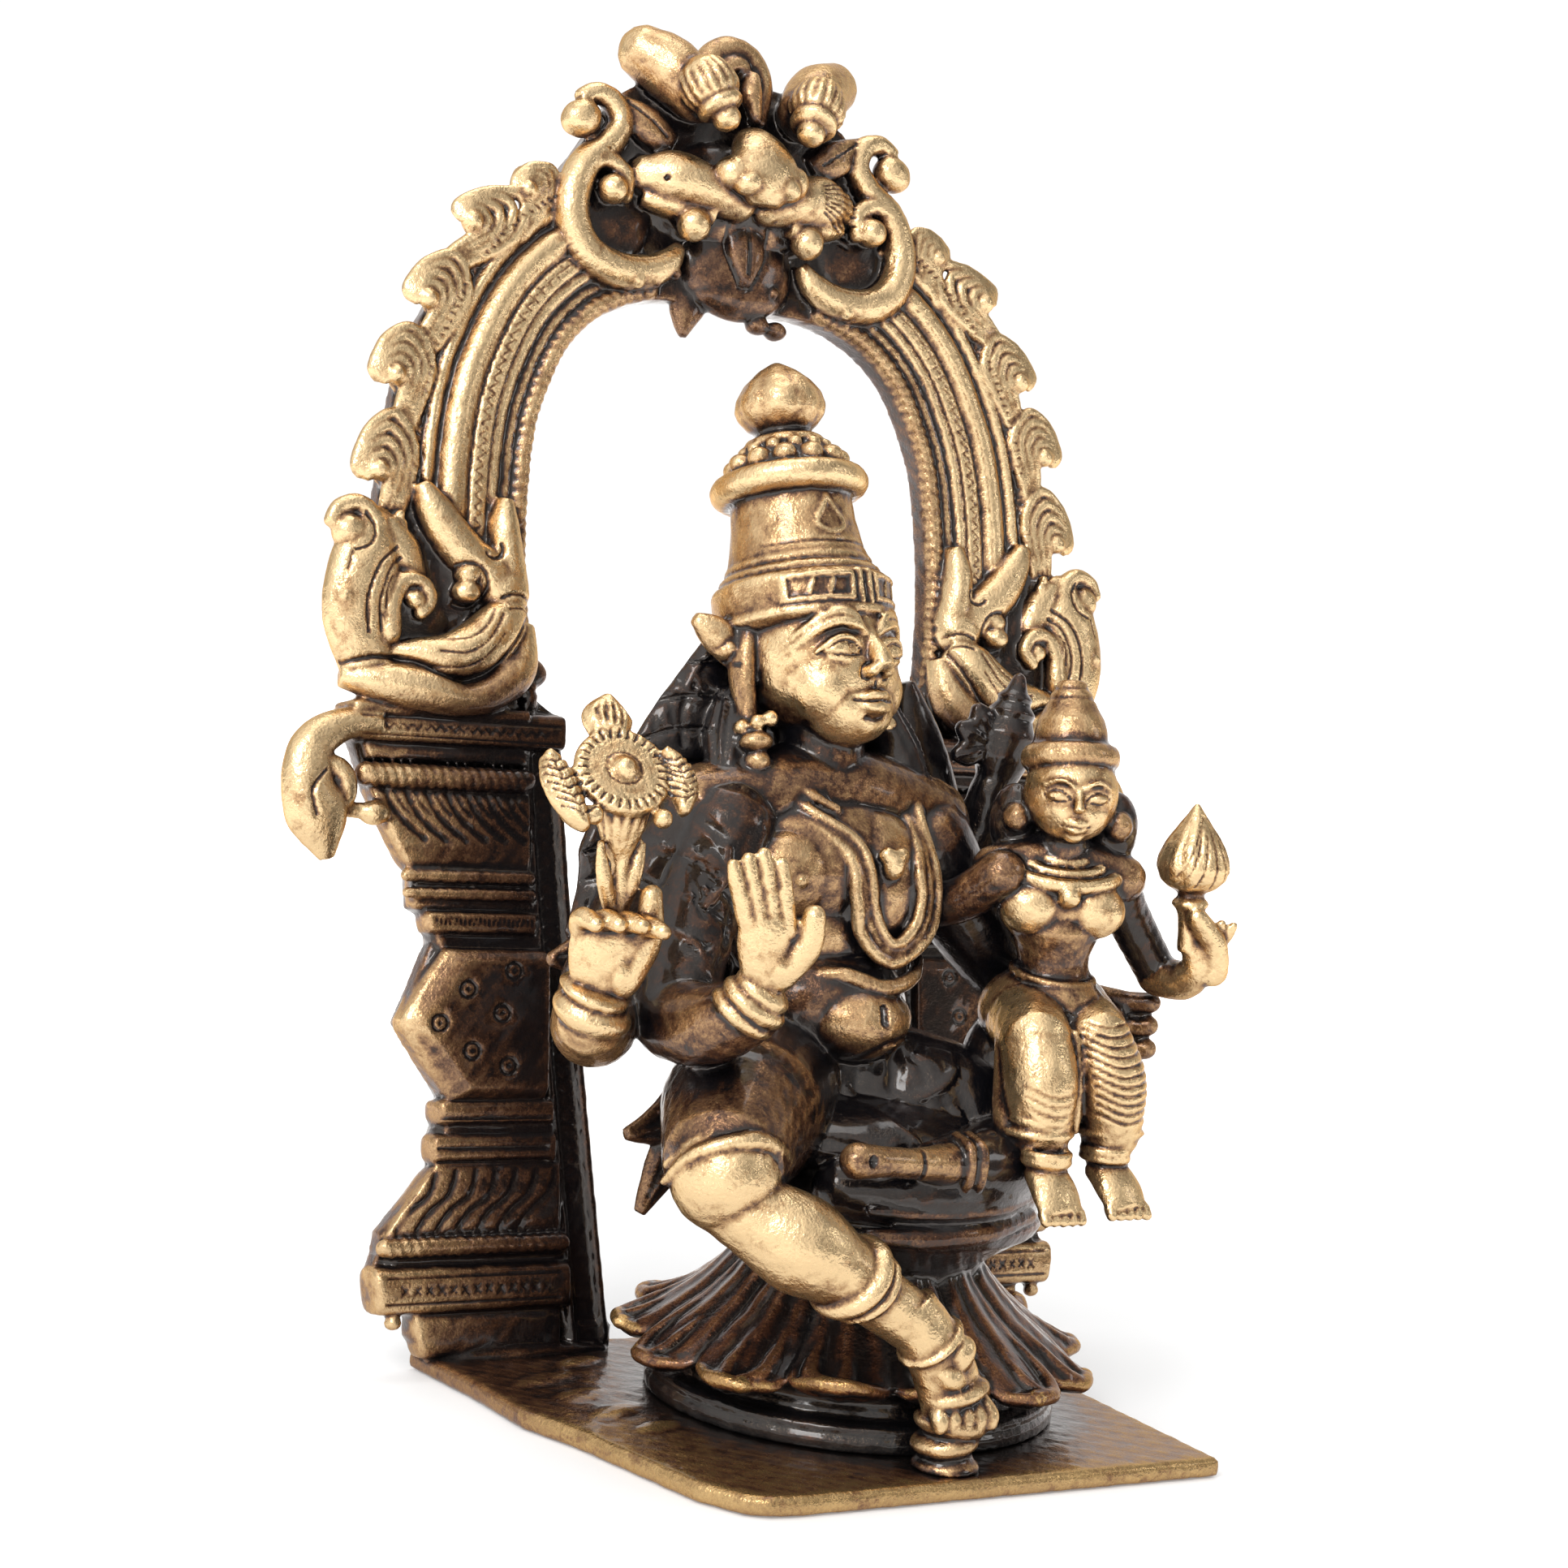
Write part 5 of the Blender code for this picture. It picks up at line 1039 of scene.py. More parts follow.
def narayana_legs(wax):
    """The lap, the left leg folded flat on the seat and the right leg that hangs down to its lotus."""
    wax.tone = BLACK
    wax.ball((-3, 2.6, 24.5), (10.0, 7.6, 6.0), fine=20)
    wax.ball((-1, -1, 21.6), (13.0, 10.5, 3.4), fine=20)
    # the left leg is folded flat on the seat, sole outwards
    wax.tube([(0, 0, 24), (6.5, -3.6, 23), (10.4, -6.4, 21.2)], [6.0, 5.4, 4.2], sides=28)
    wax.tone = BLACK + 0.08
    wax.tube([(10.6, -7.2, 20.4), (5.4, -11.0, 20.4), (-0.6, -13.2, 21.0)], [3.9, 3.3, 1.9], sides=28)
    wax.tone = BROWN - 0.04
    for x in (1.4, 2.5):
        wax.tube([(x, -12.6, 23.0), (x - 0.2, -15.0, 22.4), (x - 0.2, -15.0, 19.9), (x, -12.8, 18.9)], 0.42)
    wax.tone = BROWN + 0.06
    wax.tube([(0.0, -13.8, 21.2), (-3.4, -14.9, 21.5), (-6.4, -15.3, 21.8), (-8.8, -15.3, 21.9)],
             [1.6, 1.2, 1.15, 1.4])
    wax.cut([(circle((-8.2, 22.1), 0.1, count=5), 0.5, 0.45), ([(-3.4, 19.8), (-3.4, 23.4)], 0.3, 0.25)],
            -17.5, -13.8)
    wax.tone = BLACK + 0.04
    wax.tube([(-6.5, -10.0, 18.6), (-1, -12.0, 18.4), (5, -11.4, 18.4), (10.2, -7.6, 18.6)],
             [2.4, 2.7, 2.7, 2.4], sides=24)
    # the hem of the long garment hangs over the seat's edge
    wax.tone = BROWN - 0.2
    wax.tube([(-6, -13.4, 15.8), (-2, -13.9, 15.6), (4, -13.6, 15.8), (10, -10.6, 16.2)],
             [0.7, 0.9, 0.9, 0.8])
    wax.tube([(-6, -13.2, 17.6), (-1, -14.2, 17.5), (5, -13.8, 17.6), (11, -10.2, 17.8)],
             [0.4, 0.5, 0.5, 0.4])
    # the right leg hangs down and stands on the toes
    wax.tone = BLACK + 0.05
    wax.tube([(-8, 1, 24.6), (-13.4, -6, 23.6)], [6.6, 6.2], sides=28)
    wax.tone = BROWN
    wax.tube([(-13.4, -6, 23.6), (-17.2, -11.0, 21.8)], [6.2, 4.9], sides=28)
    wax.tone = GOLD
    wax.ball((-18.2, -12.7, 20.5), (4.1, 4.0, 4.1), fine=20)
    wax.tube(
        [(-18.2, -13.0, 19.2), (-16.2, -14.2, 17.8), (-13.2, -15.8, 16.0), (-10.4, -16.8, 14.4)],
        [2.9, 3.05, 3.6, 2.8], sides=32,
    )
    wax.tube([(-10.4, -16.9, 14.4), (-7.4, -17.6, 12.4), (-4.6, -18.0, 10.6)], [2.7, 2.35, 2.2], sides=28)
    wax.tone = BRONZE + 0.05
    for lift, thick in ((0.0, 0.55), (1.0, 0.32)):
        wax.tube(
            [(-22.3 + lift * 0.3, -11.2 + lift * 0.7, 19.8 + lift),
             (-21.4 + lift * 0.4, -14.0 + lift * 0.8, 22.4 + lift * 0.8),
             (-17.9 + lift * 0.6, -15.5 + lift * 0.9, 23.6 + lift * 0.8),
             (-14.6 + lift * 0.7, -14.4 + lift * 0.8, 22.2 + lift),
             (-13.2 + lift * 0.6, -12.6 + lift * 0.6, 19.6 + lift)],
            [thick * 0.6, thick, thick * 1.2, thick, thick * 0.6],
        )
    wax.tone = GOLD
    wax.ball((-9.6, -17.0, 13.9), (1.25, 3.5, 3.5), (0, 38, 18), fine=18)
    wax.ball((-8.6, -17.3, 13.2), (0.6, 3.1, 3.1), (0, 38, 18), fine=18)
    wax.blade(
        [(-5.2, -18.0, 11.6), (-3.4, -18.6, 9.4), (-1.9, -19.0, 6.8), (TOES[0] - 0.2, TOES[1] - 0.6, 4.2)],
        [2.3, 2.3, 2.5, 2.4], [2.2, 2.1, 1.8, 1.4], (-0.2, -1, 0.4),
    )
    wax.ball((-3.3, -18.6, 9.3), (0.5, 2.65, 2.75), (0, 52, 8), fine=18)
    wax.ball((-1.6, -20.1, 8.6), (1.1, 1.1, 1.5), (0, 25, 0), fine=12)
    wax.ball((-2.4, -20.3, 7.0), (1.3, 1.0, 0.9), (0, 20, 0), fine=12)
    wax.tone = BRONZE + 0.08
    wax.ball((-1.1, -19.2, 5.6), (2.75, 2.2, 0.95), (0, -14, 0), fine=14)
    for k in range(5):
        x = TOES[0] + 1.1 * (k - 2)
        wax.tube([(x * 0.92, TOES[1] - 0.8, 4.9), (x, TOES[1] - 1.9, 4.1), (x, TOES[1] - 2.1, 3.5)],
                 [0.6, 0.68, 0.6])
    wax.tone = BRONZE
    wax.ball((TOES[0], TOES[1] - 0.2, 3.1), (2.9, 2.6, 1.15), (0, 7, 0), fine=14)
    wax.ball((TOES[0] - 0.3, TOES[1] - 0.1, 1.7), (2.6, 2.5, 1.1), (0, -8, 0), fine=14)
    wax.tone = BROWN + 0.12
    wax.turned([(0, 1.6), (1.7, 1.5), (2.0, 0.6), (2.5, 0.1), (2.6, -SINK), (0, -SINK)],
               (TOES[0], TOES[1], 0))


def narayana_body(wax):
    """Belly, chest, shoulders and neck, with the looped necklace."""
    x = -3.8
    wax.tone = BROWN - 0.1
    wax.ball((x, 0.4, 31.0), (7.0, 6.4, 5.2), fine=20)
    wax.tone = BRONZE - 0.12
    wax.ball((x + 1.0, -1.9, 30.2), (5.0, 5.9, 3.5), fine=20)
    wax.tone = BROWN + 0.16
    wax.ball((x, 2.0, 36.4), (7.2, 5.6, 5.6), fine=20)
    wax.ball((x, 2.2, 41.2), (9.4, 6.2, 6.2), fine=20)
    wax.ball((-1.0, -0.4, 39.8), (5.4, 4.1, 6.4), fine=20)
    for side in (-1, 1):
        wax.ball((x + side * 4.3, -1.0, 41.0), (4.2, 2.9, 3.6), fine=18)
        wax.ball((x + side * 5.0, -3.7, 40.8), 0.5, fine=7)
    wax.tone = BROWN + 0.02
    wax.tube([(x - 10, 3.4, 45.0), (x, 3.4, 46.6), (x + 10, 3.4, 45.0)], [3.8, 4.4, 3.8], sides=28)
    wax.tube([(x, 3.4, 46), (x, 3.4, 50), (x, 4.2, 54)], [4.0, 3.4, 3.6], sides=28)
    # three cords that run from the right shoulder into one long loop, with a heart-shaped pendant
    wax.tone = BRONZE - 0.04
    outer = [(-9.9, 1.8, 46.1), (-7.3, -1.6, 44.8), (-4.7, -3.6, 42.7), (-4.2, -4.4, 39.8),
             (-3.6, -4.6, 36.9), (-1.0, -5.0, 34.8), (2.2, -4.4, 36.5), (3.4, -3.8, 38.8),
             (3.2, -3.6, 41.7), (2.9, -1.9, 44.6), (3.2, 1.0, 47.6)]
    inner = [(-9.4, 1.6, 47.3), (-6.8, -1.6, 45.7), (-4.1, -3.2, 44.0), (-3.1, -4.2, 42.0),
             (-2.5, -4.6, 38.6), (-0.9, -4.9, 36.3), (0.9, -4.7, 37.5), (1.6, -4.5, 39.5),
             (1.4, -4.2, 41.7), (1.6, -3.0, 43.6), (2.2, 0.6, 46.6)]
    for share, thick in ((0.0, 0.55), (0.5, 0.36), (1.0, 0.46)):
        wax.tube([tuple(lerp(a, b, share) for a, b in zip(p, q)) for p, q in zip(outer, inner)], thick)
    wax.tone = BROWN + 0.1
    wax.tube([(-10.0, 1.8, 48.3), (-7.4, -0.4, 47.3), (-5.0, -1.8, 46.2)], [0.3, 0.4, 0.3])
    wax.tone = GOLD
    wax.ball((-1.4, -4.9, 42.4), (0.9, 0.8, 1.2))
    for side in (-1, 1):
        wax.ball((-1.4 + side * 0.6, -4.7, 43.1), (0.7, 0.7, 0.65), fine=9)
    # the fold above the belly, which dips in the middle, and the navel
    wax.tone = BROWN + 0.1
    wax.tube([(-8.6, -0.6, 33.4), (-7.4, -3.0, 33.4), (-4.9, -4.8, 33.8), (-1.8, -5.7, 33.0),
              (1.2, -4.8, 33.7), (3.4, -2.0, 34.8)],
             [0.5, 0.6, 0.65, 0.7, 0.6, 0.5])
    wax.cut([([(-2.6, 30.7), (-2.5, 31.6)], 0.5, 0.7)] + wrinkles((-7, 12), (21, 29.5), 34, 5), -12.8, -3)


def narayana_head(wax):
    """Head and tall crown, drawn upright about the top of the neck and then tipped back, with the mantle."""
    upright = wax.frame
    wax.frame = upright @ Matrix.Translation(Vector((-4, 3.4, 51))) @ turn((-16, -4, 0)) @ turn((0, 0, 14))
    wax.tone = GOLD
    wax.ball((0, -0.6, 6.6), (6.2, 6.3, 6.6), fine=24)
    wax.ball((0, -2.2, 4.6), (5.5, 4.7, 4.6), fine=24)
    wax.ball((0, -3.4, 2.0), (3.9, 3.2, 3.0), fine=20)
    wax.ball((0, -4.6, 0.6), (1.7, 1.5, 1.3), fine=14)
    for side in (-1, 1):
        wax.ball((side * 2.5, -3.3, 3.5), (2.7, 2.75, 2.9), fine=18)
    head = wax.frame
    wax.frame = head @ Matrix.Translation((0, 0, -1.5))
    features(wax)
    wax.frame = head
    for side in (-1, 1):
        ear(wax, side)
    crown(wax)
    wax.frame = upright
    mantle(wax)


def features(wax):
    """Nose, eyes, brows and a closed, level mouth, in thirds of the face."""
    wax.blade(
        [(0, -6.1, 9.4), (0, -6.8, 8.0), (0, -7.5, 6.6), (0, -8.0, 5.7)], [0.55, 0.6, 0.85, 0.8],
        [0.5, 0.6, 0.8, 0.6], TOWARD,
    )
    lines = []
    for side in (-1, 1):
        wax.ball((side * 0.8, -7.2, 5.6), (0.55, 0.7, 0.5), fine=8)
        # almond eye under its lid
        wax.ball((side * 2.65, -5.75, 7.45), (1.5, 0.85, 0.72))
        wax.tube(
            [(side * 1.1, -6.5, 7.2), (side * 1.7, -6.72, 7.95), (side * 2.7, -6.6, 8.3),
             (side * 3.7, -6.1, 8.0), (side * 4.6, -5.1, 7.2)], [0.16, 0.24, 0.26, 0.24, 0.14], steps=6,
        )
        wax.tube(
            [(side * 1.2, -6.4, 7.1), (side * 2.6, -6.45, 6.6), (side * 3.8, -5.8, 6.8)], [0.12, 0.18, 0.12],
            steps=6,
        )
        # brow, in two arched lines
        for lift, thick in ((0, 0.34), (0.8, 0.28)):
            wax.tube(
                [(side * (0.7 + lift * 0.2), -6.95 + lift * 0.1, 8.7 + lift * 0.5),
                 (side * 1.8, -6.85, 9.3 + lift),
                 (side * 3.2, -6.25, 9.5 + lift), (side * 4.6, -5.0, 8.8 + lift),
                 (side * 5.5, -3.5, 7.8 + lift)],
                [thick * 0.6, thick, thick, thick * 0.9, thick * 0.5], steps=6,
            )
        lines.append((curve([(side * 1.2, 7.3), (side * 2.1, 7.95), (side * 3.3, 7.9), (side * 4.4, 7.1)],
                            6), 0.15, 0.22))
        lines.append((curve([(side * 1.2, 7.0), (side * 2.5, 6.85), (side * 3.9, 7.0)], 6), 0.14, 0.2))
        lines.append((curve([(side * 0.75, 6.3), (side * 1.35, 5.9), (side * 1.35, 5.2), (side * 0.7, 5.0)],
                            5), 0.16, 0.24))
    # lips with a level, quiet line between them
    wax.tube([(-1.75, -6.15, 3.55), (-0.6, -6.85, 3.8), (0, -6.95, 3.66), (0.6, -6.85, 3.8),
              (1.75, -6.15, 3.55)],
             [0.16, 0.4, 0.4, 0.4, 0.16], steps=6)
    wax.tube([(-1.5, -6.15, 3.15), (-0.7, -6.7, 2.85), (0.7, -6.7, 2.85), (1.5, -6.15, 3.15)],
             [0.16, 0.42, 0.42, 0.16], steps=6)
    lines.append((curve([(-2.0, 3.55), (-0.9, 3.3), (0, 3.36), (0.9, 3.3), (2.0, 3.55)], 6), 0.16, 0.3))
    lines.append((curve([(-0.9, 2.15), (0, 2.0), (0.9, 2.15)], 5), 0.3, 0.2))
    lines.append(([(0, 4.2), (0, 4.9)], 0.2, 0.14))
    wax.cut(lines, -9.5, -3.2)


def ear(wax, side):
    """An ear with its ornaments, the pendants below it and the locks behind it."""
    wax.tone = BROWN + 0.04
    wax.blade(
        [(side * 6.2, 0.4, 8.4), (side * 6.9, 0.8, 5.6), (side * 6.8, 0.8, 2.4), (side * 6.8, 0.6, -1.2)],
        [0.9, 1.3, 0.9, 0.8], [0.8, 0.9, 0.8, 0.8], (side, 0, 0),
    )
    wax.tone = GOLD
    for dx, dy, z, r in ((6.4, -1.3, 1.3, 0.65), (7.4, -0.9, 1.1, 0.6), (7.9, 0.4, 0.9, 0.6)):
        wax.ball((side * dx, dy, z), r, fine=8)
    wax.tone = BRONZE - 0.12
    wax.ball((side * 7.1, -0.2, -0.3), (1.4, 1.3, 0.8))
    wax.ball((side * 7.0, 0.1, -1.8), (1.05, 1.1, 0.85))
    wax.ball((side * 7.0, 0.2, -3.2), (0.8, 0.8, 0.9))
    wax.tone = BRONZE
    wax.blade(
        [(side * 6.4, 1.4, 6.6), (side * 8.2, 2.0, 8.6), (side * 9.8, 2.4, 9.8)],
        [1.3, 1.4, 0.5], [1.0, 1.1, 0.5], (side * 0.5, -1, 0),
    )
    wax.tone = BLACK
    for k in range(4):
        wax.tube(
            [(side * (5.4 - 0.4 * k), 2.4 + 0.8 * k, 3.0), (side * (6.2 - 0.3 * k), 3.0 + 0.7 * k, 0.0),
             (side * (7.4 - 0.2 * k), 2.2 + 0.5 * k, -3.0)], [0.9, 1.0, 0.8],
        )


def mantle(wax):
    """Hair behind the neck, and the mantle that spreads from it to the right elbow, with its loose ends."""
    wax.tone = BLACK
    wax.blade(
        [(-4, 8.4, 58), (-4, 8.4, 52), (-4, 8.0, 46), (-4, 6.8, 38), (-4, 6.4, 28)],
        [5.5, 9.4, 12.0, 11.0, 9.4], [2.4, 2.4, 2.2, 2.4, 2.4], (0, 1, 0), ribs=9, rib=0.08, sides=72,
    )
    wax.blade(
        [(-11.4, 7.6, 58.6), (-12.6, 7.6, 52), (-14.8, 7.4, 45), (-18.4, 6.8, 38), (-22.6, 6.4, 34.6)],
        [1.0, 4.0, 5.4, 5.0, 0.8], [0.9, 1.3, 1.6, 1.6, 0.8], (0, 1, 0),
    )
    wax.blade([(6, 7.6, 56), (7.4, 7.4, 51), (9, 7.0, 45)], [0.8, 2.6, 3.4], [0.8, 1.3, 1.6], (0, 1, 0))
    for side in (-1, 1):
        wax.blade([(-4 + side * 6.4, 6.4, 54), (-4 + side * 7.6, 4.4, 50.4), (-4 + side * 8.6, 2.6, 48)],
                  [1.4, 2.0, 1.4], [1.6, 2.0, 1.3], (side, -1, 0), ribs=4, rib=0.14, sides=40)
    for spike in (
        [(-18, 6.0, 36), (-21, 6.0, 33.8), (-24.6, 6.0, 33)],
        [(-9, 6, 25), (-13.0, 5.8, 20.8), (-17.0, 5.4, 19.6)],
        [(-9, 6, 23), (-12.6, 5.8, 18.0), (-15.2, 5.4, 13.4)],
    ):
        wax.tone = BROWN - 0.1
        wax.blade(spike, [2.4, 2.0, 0.5], [1.2, 1.0, 0.5], (0, 1, 0), ribs=3, rib=0.2, sides=40)
    folds = []
    for k in range(7):
        z = 56.5 - 2.6 * k
        folds.append((curve([(-17.6 - 0.9 * k, z - 2.2), (-14.6 - 0.5 * k, z - 0.4), (-11.0, z)], 5), 0.3,
                      0.35))
    wax.cut(folds + wrinkles((-23, -10), (31, 57), 46, 3), 3.2, 8.0)


def crown(wax):
    """The kirita: diadem with raised bars, drum with a drop, thick roll, petals and a bud."""
    wax.tone = BRONZE + 0.04
    wax.turned(
        [(0, 27.6), (2.2, 27.4), (3.3, 26.6), (2.2, 24.9), (2.2, 24.6), (3.1, 24.3), (3.3, 23.9),
         (3.0, 23.5), (3.1, 23.2), (3.8, 22.9), (3.9, 22.4), (4.4, 22.0), (4.8, 21.2), (4.8, 19.2),
         (4.95, 17.4), (5.3, 15.4), (5.6, 14.2), (5.8, 14.0), (5.9, 13.7), (5.8, 13.4), (6.3, 13.2),
         (6.45, 12.9), (6.4, 12.6), (6.9, 12.4), (7.1, 12.1), (7.1, 9.7), (7.3, 9.4), (7.3, 9.0),
         (6.6, 8.5), (0, 6.0)], (0, 0.4, 0),
    )
    wax.tone = GOLD
    ring = [(5.2 * math.cos(a), 0.4 + 5.2 * math.sin(a), 20.4)
            for a in [math.tau * k / 24 for k in range(25)]]
    wax.tube(ring, 1.15, steps=3)
    wax.tone = BRONZE
    for k in range(12):
        a = math.tau * (k + 0.5) / 12
        wax.ball((4.15 * math.cos(a), 0.4 + 4.15 * math.sin(a), 22.3), (0.95, 0.95, 0.85), fine=8)
        wax.ball((3.3 * math.cos(a + 0.26), 0.4 + 3.3 * math.sin(a + 0.26), 23.4), (0.6, 0.6, 0.5), fine=7)
    # the bud with its petals
    wax.turned(
        [(0, 30.8), (0.5, 30.6), (1.5, 30.0), (2.6, 29.0), (3.3, 27.9), (3.5, 27.0), (3.3, 26.2),
         (2.7, 25.4), (2.1, 24.9), (0, 24.6)], (0, 0.4, 0), lobes=8, depth=0.05, between=(25.2, 30.2),
    )
    # raised frames of the diadem, and the drop on the drum
    wax.tone = GOLD
    lines = []
    for x0, x1 in ((-5.9, -1.3), (1.3, 5.9)):
        frame_line = [(x0, 10.0), (x1, 10.0), (x1, 11.9), (x0, 11.9), (x0, 10.0)]
        lines.append((frame_line, 0.3, -0.3))
        for x in (lerp(x0, x1, 0.3), lerp(x0, x1, 0.6)):
            lines.append(([(x, 10.4), (x + 0.3, 11.5)], 0.22, -0.16))
    for x in (-0.5, 0.5):
        lines.append(([(x, 9.8), (x, 12.4)], 0.3, -0.3))
    drop = [(0, 18.6), (0.5, 17.6), (1.0, 16.8), (0.95, 16.1), (0, 15.7), (-0.95, 16.1), (-1.0, 16.8),
            (-0.5, 17.6), (0, 18.6)]
    lines.append((curve([(x * 1.15 - 0.8, z) for x, z in drop], 4), 0.3, -0.14))
    lines.append(([(-6.0, 14.9), (6.0, 14.9)], 0.22, 0.1))
    wax.cut(lines, -8.5, -0.5)


def hand(wax, wrist, middle, tips, thumb, across, palm=2.1, curl=(0, 0, 0), thick=0.62):
    """A hand: the palm from wrist to middle, four fingers to tips along across, and a thumb."""
    wrist = Vector(wrist)
    middle = Vector(middle)
    across = Vector(across)
    curl = Vector(curl)
    face = (middle - wrist).cross(across)
    wax.blade(
        [wrist, wrist.lerp(middle, 0.35), wrist.lerp(middle, 0.75), middle],
        [palm * 0.72, palm * 0.95, palm * 1.04, palm * 0.95], [1.1, 1.25, 1.1, 0.8], face,
    )
    for k, length in enumerate((0.78, 0.93, 1.05, 0.94)):
        root = middle + across * (palm * (0.80 - 0.535 * k))
        end = root + (Vector(tips) - middle) * length + across * (0.2 * (1.5 - k))
        wax.tube(
            [root - (end - root) * 0.15, root.lerp(end, 0.35), root.lerp(end, 0.7) + curl * 0.35,
             end + curl],
            [thick * 1.04, thick, thick * 0.93, thick * 0.72],
        )
    root = wrist.lerp(middle, 0.25) - across * palm * 0.6
    wax.tube([root, root.lerp(Vector(thumb), 0.5) - across * 0.7, thumb], [1.35, 1.15, 0.85])
    bulge = face.normalized() * 0.55
    wax.ball(wrist.lerp(middle, 0.35) - across * palm * 0.5 + bulge, (1.0, 0.8, 1.5), fine=9)


def bangles(wax, at, radius, tilt, count=3, pitch=0.8, thick=0.42):
    """A stack of rings round a wrist or an ankle."""
    place = Matrix.Translation(Vector(at)) @ turn(tilt)
    for k in range(count):
        ring = [place @ Vector((radius * math.cos(a), radius * math.sin(a), (k - (count - 1) / 2) * pitch))
                for a in [math.tau * n / 20 for n in range(21)]]
        wax.tube(ring, thick, steps=2, sides=12)


def narayana_arms(wax):
    """Four arms: discus, raised palm, conch, and the one round the goddess."""
    # rear right arm, with the discus
    wax.tone = BLACK + 0.06
    wax.tube([(-13.4, 3.6, 44.4), (-18.0, 3.4, 38), (-22.6, 0.8, 31.6)], [4.2, 3.7, 3.2], sides=26)
    wax.tone = BRONZE
    wax.tube([(-22.8, 0.4, 31), (-25.0, -3.4, 29.8), (-26.6, -6.2, 30.4)], [3.1, 3.2, 2.7], sides=26)
    wax.tone = GOLD - 0.05
    wax.ball((-26.9, -6.6, 31.2), (3.0, 3.0, 1.5), (20, 10, 0), fine=16)
    wax.ball((-27.0, -6.9, 32.7), (2.7, 2.7, 0.8), (20, 10, 0), fine=16)
    wax.tone = GOLD
    hand(wax, (-26.9, -7.4, 32.8), (-26.9, -8.2, 37.4), (-27.0, -9.4, 39.0), (-24.0, -8.6, 39.9),
         (-0.95, 0.3, 0.1), 2.6, (0.5, -1.3, -1.0), 0.82)
    wax.tube([(-25.8, -7.2, 38), (-25.8, -7.0, 41), (-25.9, -6.8, 44)], [0.6, 0.65, 0.8])
    wax.turned([(0, 4.6), (1.5, 4.5), (1.75, 4.0), (1.5, 2.6), (1.05, 1.2), (0.7, 0.2), (0, 0)],
               (-26.0, -6.8, 42.0), lobes=14, depth=0.2, between=(0.4, 4.2))
    for side in (-1, 1):
        wax.blade([(-26.0 + side * 0.5, -7.2, 38.6), (-26.1 + side * 1.2, -7.4, 41.0),
                   (-26.1 + side * 1.75, -7.4, 43.6)],
                  [0.5, 0.6, 0.25], [0.45, 0.5, 0.25], TOWARD)
    disc = Matrix.Translation((-26.2, -6.6, 48.4)) @ turn((52, 0, -8))
    upright = wax.frame
    wax.frame = upright @ disc
    wax.turned([(0, 1.5), (0.5, 1.35), (0.8, 0.95), (1.0, 0.7), (1.9, 0.6), (2.7, 0.6), (3.1, 0.72),
                (3.5, 0.5), (3.65, 0.0), (3.3, -0.6), (0, -0.8)], (0, 0, 0))
    notches = [(circle((0, 0), 1.35, count=24), 0.12, 0.08)]
    for k in range(28):
        a = math.tau * k / 28
        notches.append(([(2.7 * math.cos(a), 2.7 * math.sin(a)), (3.35 * math.cos(a), 3.35 * math.sin(a))],
                        0.15, 0.25))
    for side, spine in ((-1, [(-5.4, 0.4), (-4.5, -2.2), (-3.5, -4.6)]),
                        (1, [(3.6, 1.0), (4.5, -0.8), (4.3, -2.6)])):
        spine = curve(spine, 4)
        notches.append((spine, 0.14, 0.2))
        for x, y in spine[1:-1]:
            notches.append(([(x - 1.3, y + 0.8), (x, y)], 0.16, 0.28))
            notches.append(([(x + 1.2, y + 0.9), (x, y)], 0.16, 0.28))
    wax.cut(notches, -2.0, 0.5, turn((-90, 0, 0)))
    # flames of the discus: one upwards and two that hang along its sides
    for path, widths in (
        ([(-0.6, 3.2, 0), (-0.5, 4.8, 0), (-0.2, 6.6, 0)], [1.5, 1.9, 0.4]),
        ([(-5.6, 1.0, 0), (-5.0, -0.4, 0), (-4.5, -2.2, 0), (-3.9, -3.8, 0), (-3.3, -5.0, 0)],
         [0.5, 1.25, 1.3, 0.9, 0.3]),
        ([(3.2, 1.8, 0), (4.2, 0.6, 0), (4.5, -1.2, 0), (4.2, -3.2, 0)], [0.6, 1.15, 1.2, 0.4]),
    ):
        wax.blade(path, widths, [0.9] * (len(path) - 1) + [0.4], (0, 0, 1), ribs=6, rib=0.42, sides=72)
    wax.ball((-2.6, -3.7, 0), 0.75, fine=8)
    wax.ball((2.6, -3.7, 0), 0.75, fine=8)
    wax.frame = upright
    # front right arm, palm raised
    wax.tone = BLACK + 0.1
    wax.tube([(-12.8, 1.4, 44), (-16.2, -0.8, 37), (-19.2, -4.8, 30.8)], [3.8, 3.4, 3.1], sides=26)
    wax.tone = BROWN
    wax.tube([(-19.2, -5, 30.4), (-18.8, -9.6, 30.8), (-17.8, -13.4, 32.6)], [3.1, 3.0, 2.4], sides=26)
    wax.tone = GOLD
    wax.ball((-17.8, -13.8, 33.2), (2.7, 2.5, 1.0), (25, 26, 0), fine=16)
    wax.ball((-17.4, -14.2, 34.1), (2.3, 2.1, 0.9), (25, 26, 0), fine=16)
    wax.ball((-18.3, -13.2, 32.3), (2.7, 2.5, 0.9), (25, 26, 0), fine=16)
    hand(wax, (-17.6, -14.6, 34.4), (-18.4, -15.4, 39.4), (-19.6, -15.3, 43.8), (-15.2, -16.6, 39.8),
         (-0.96, 0.25, 0.1), 1.95, (0, 0, 0), 0.68)
    wax.cut(wrinkles((-21.5, -12), (32.5, 45.5), 34, 9), -9.5, 3.2)
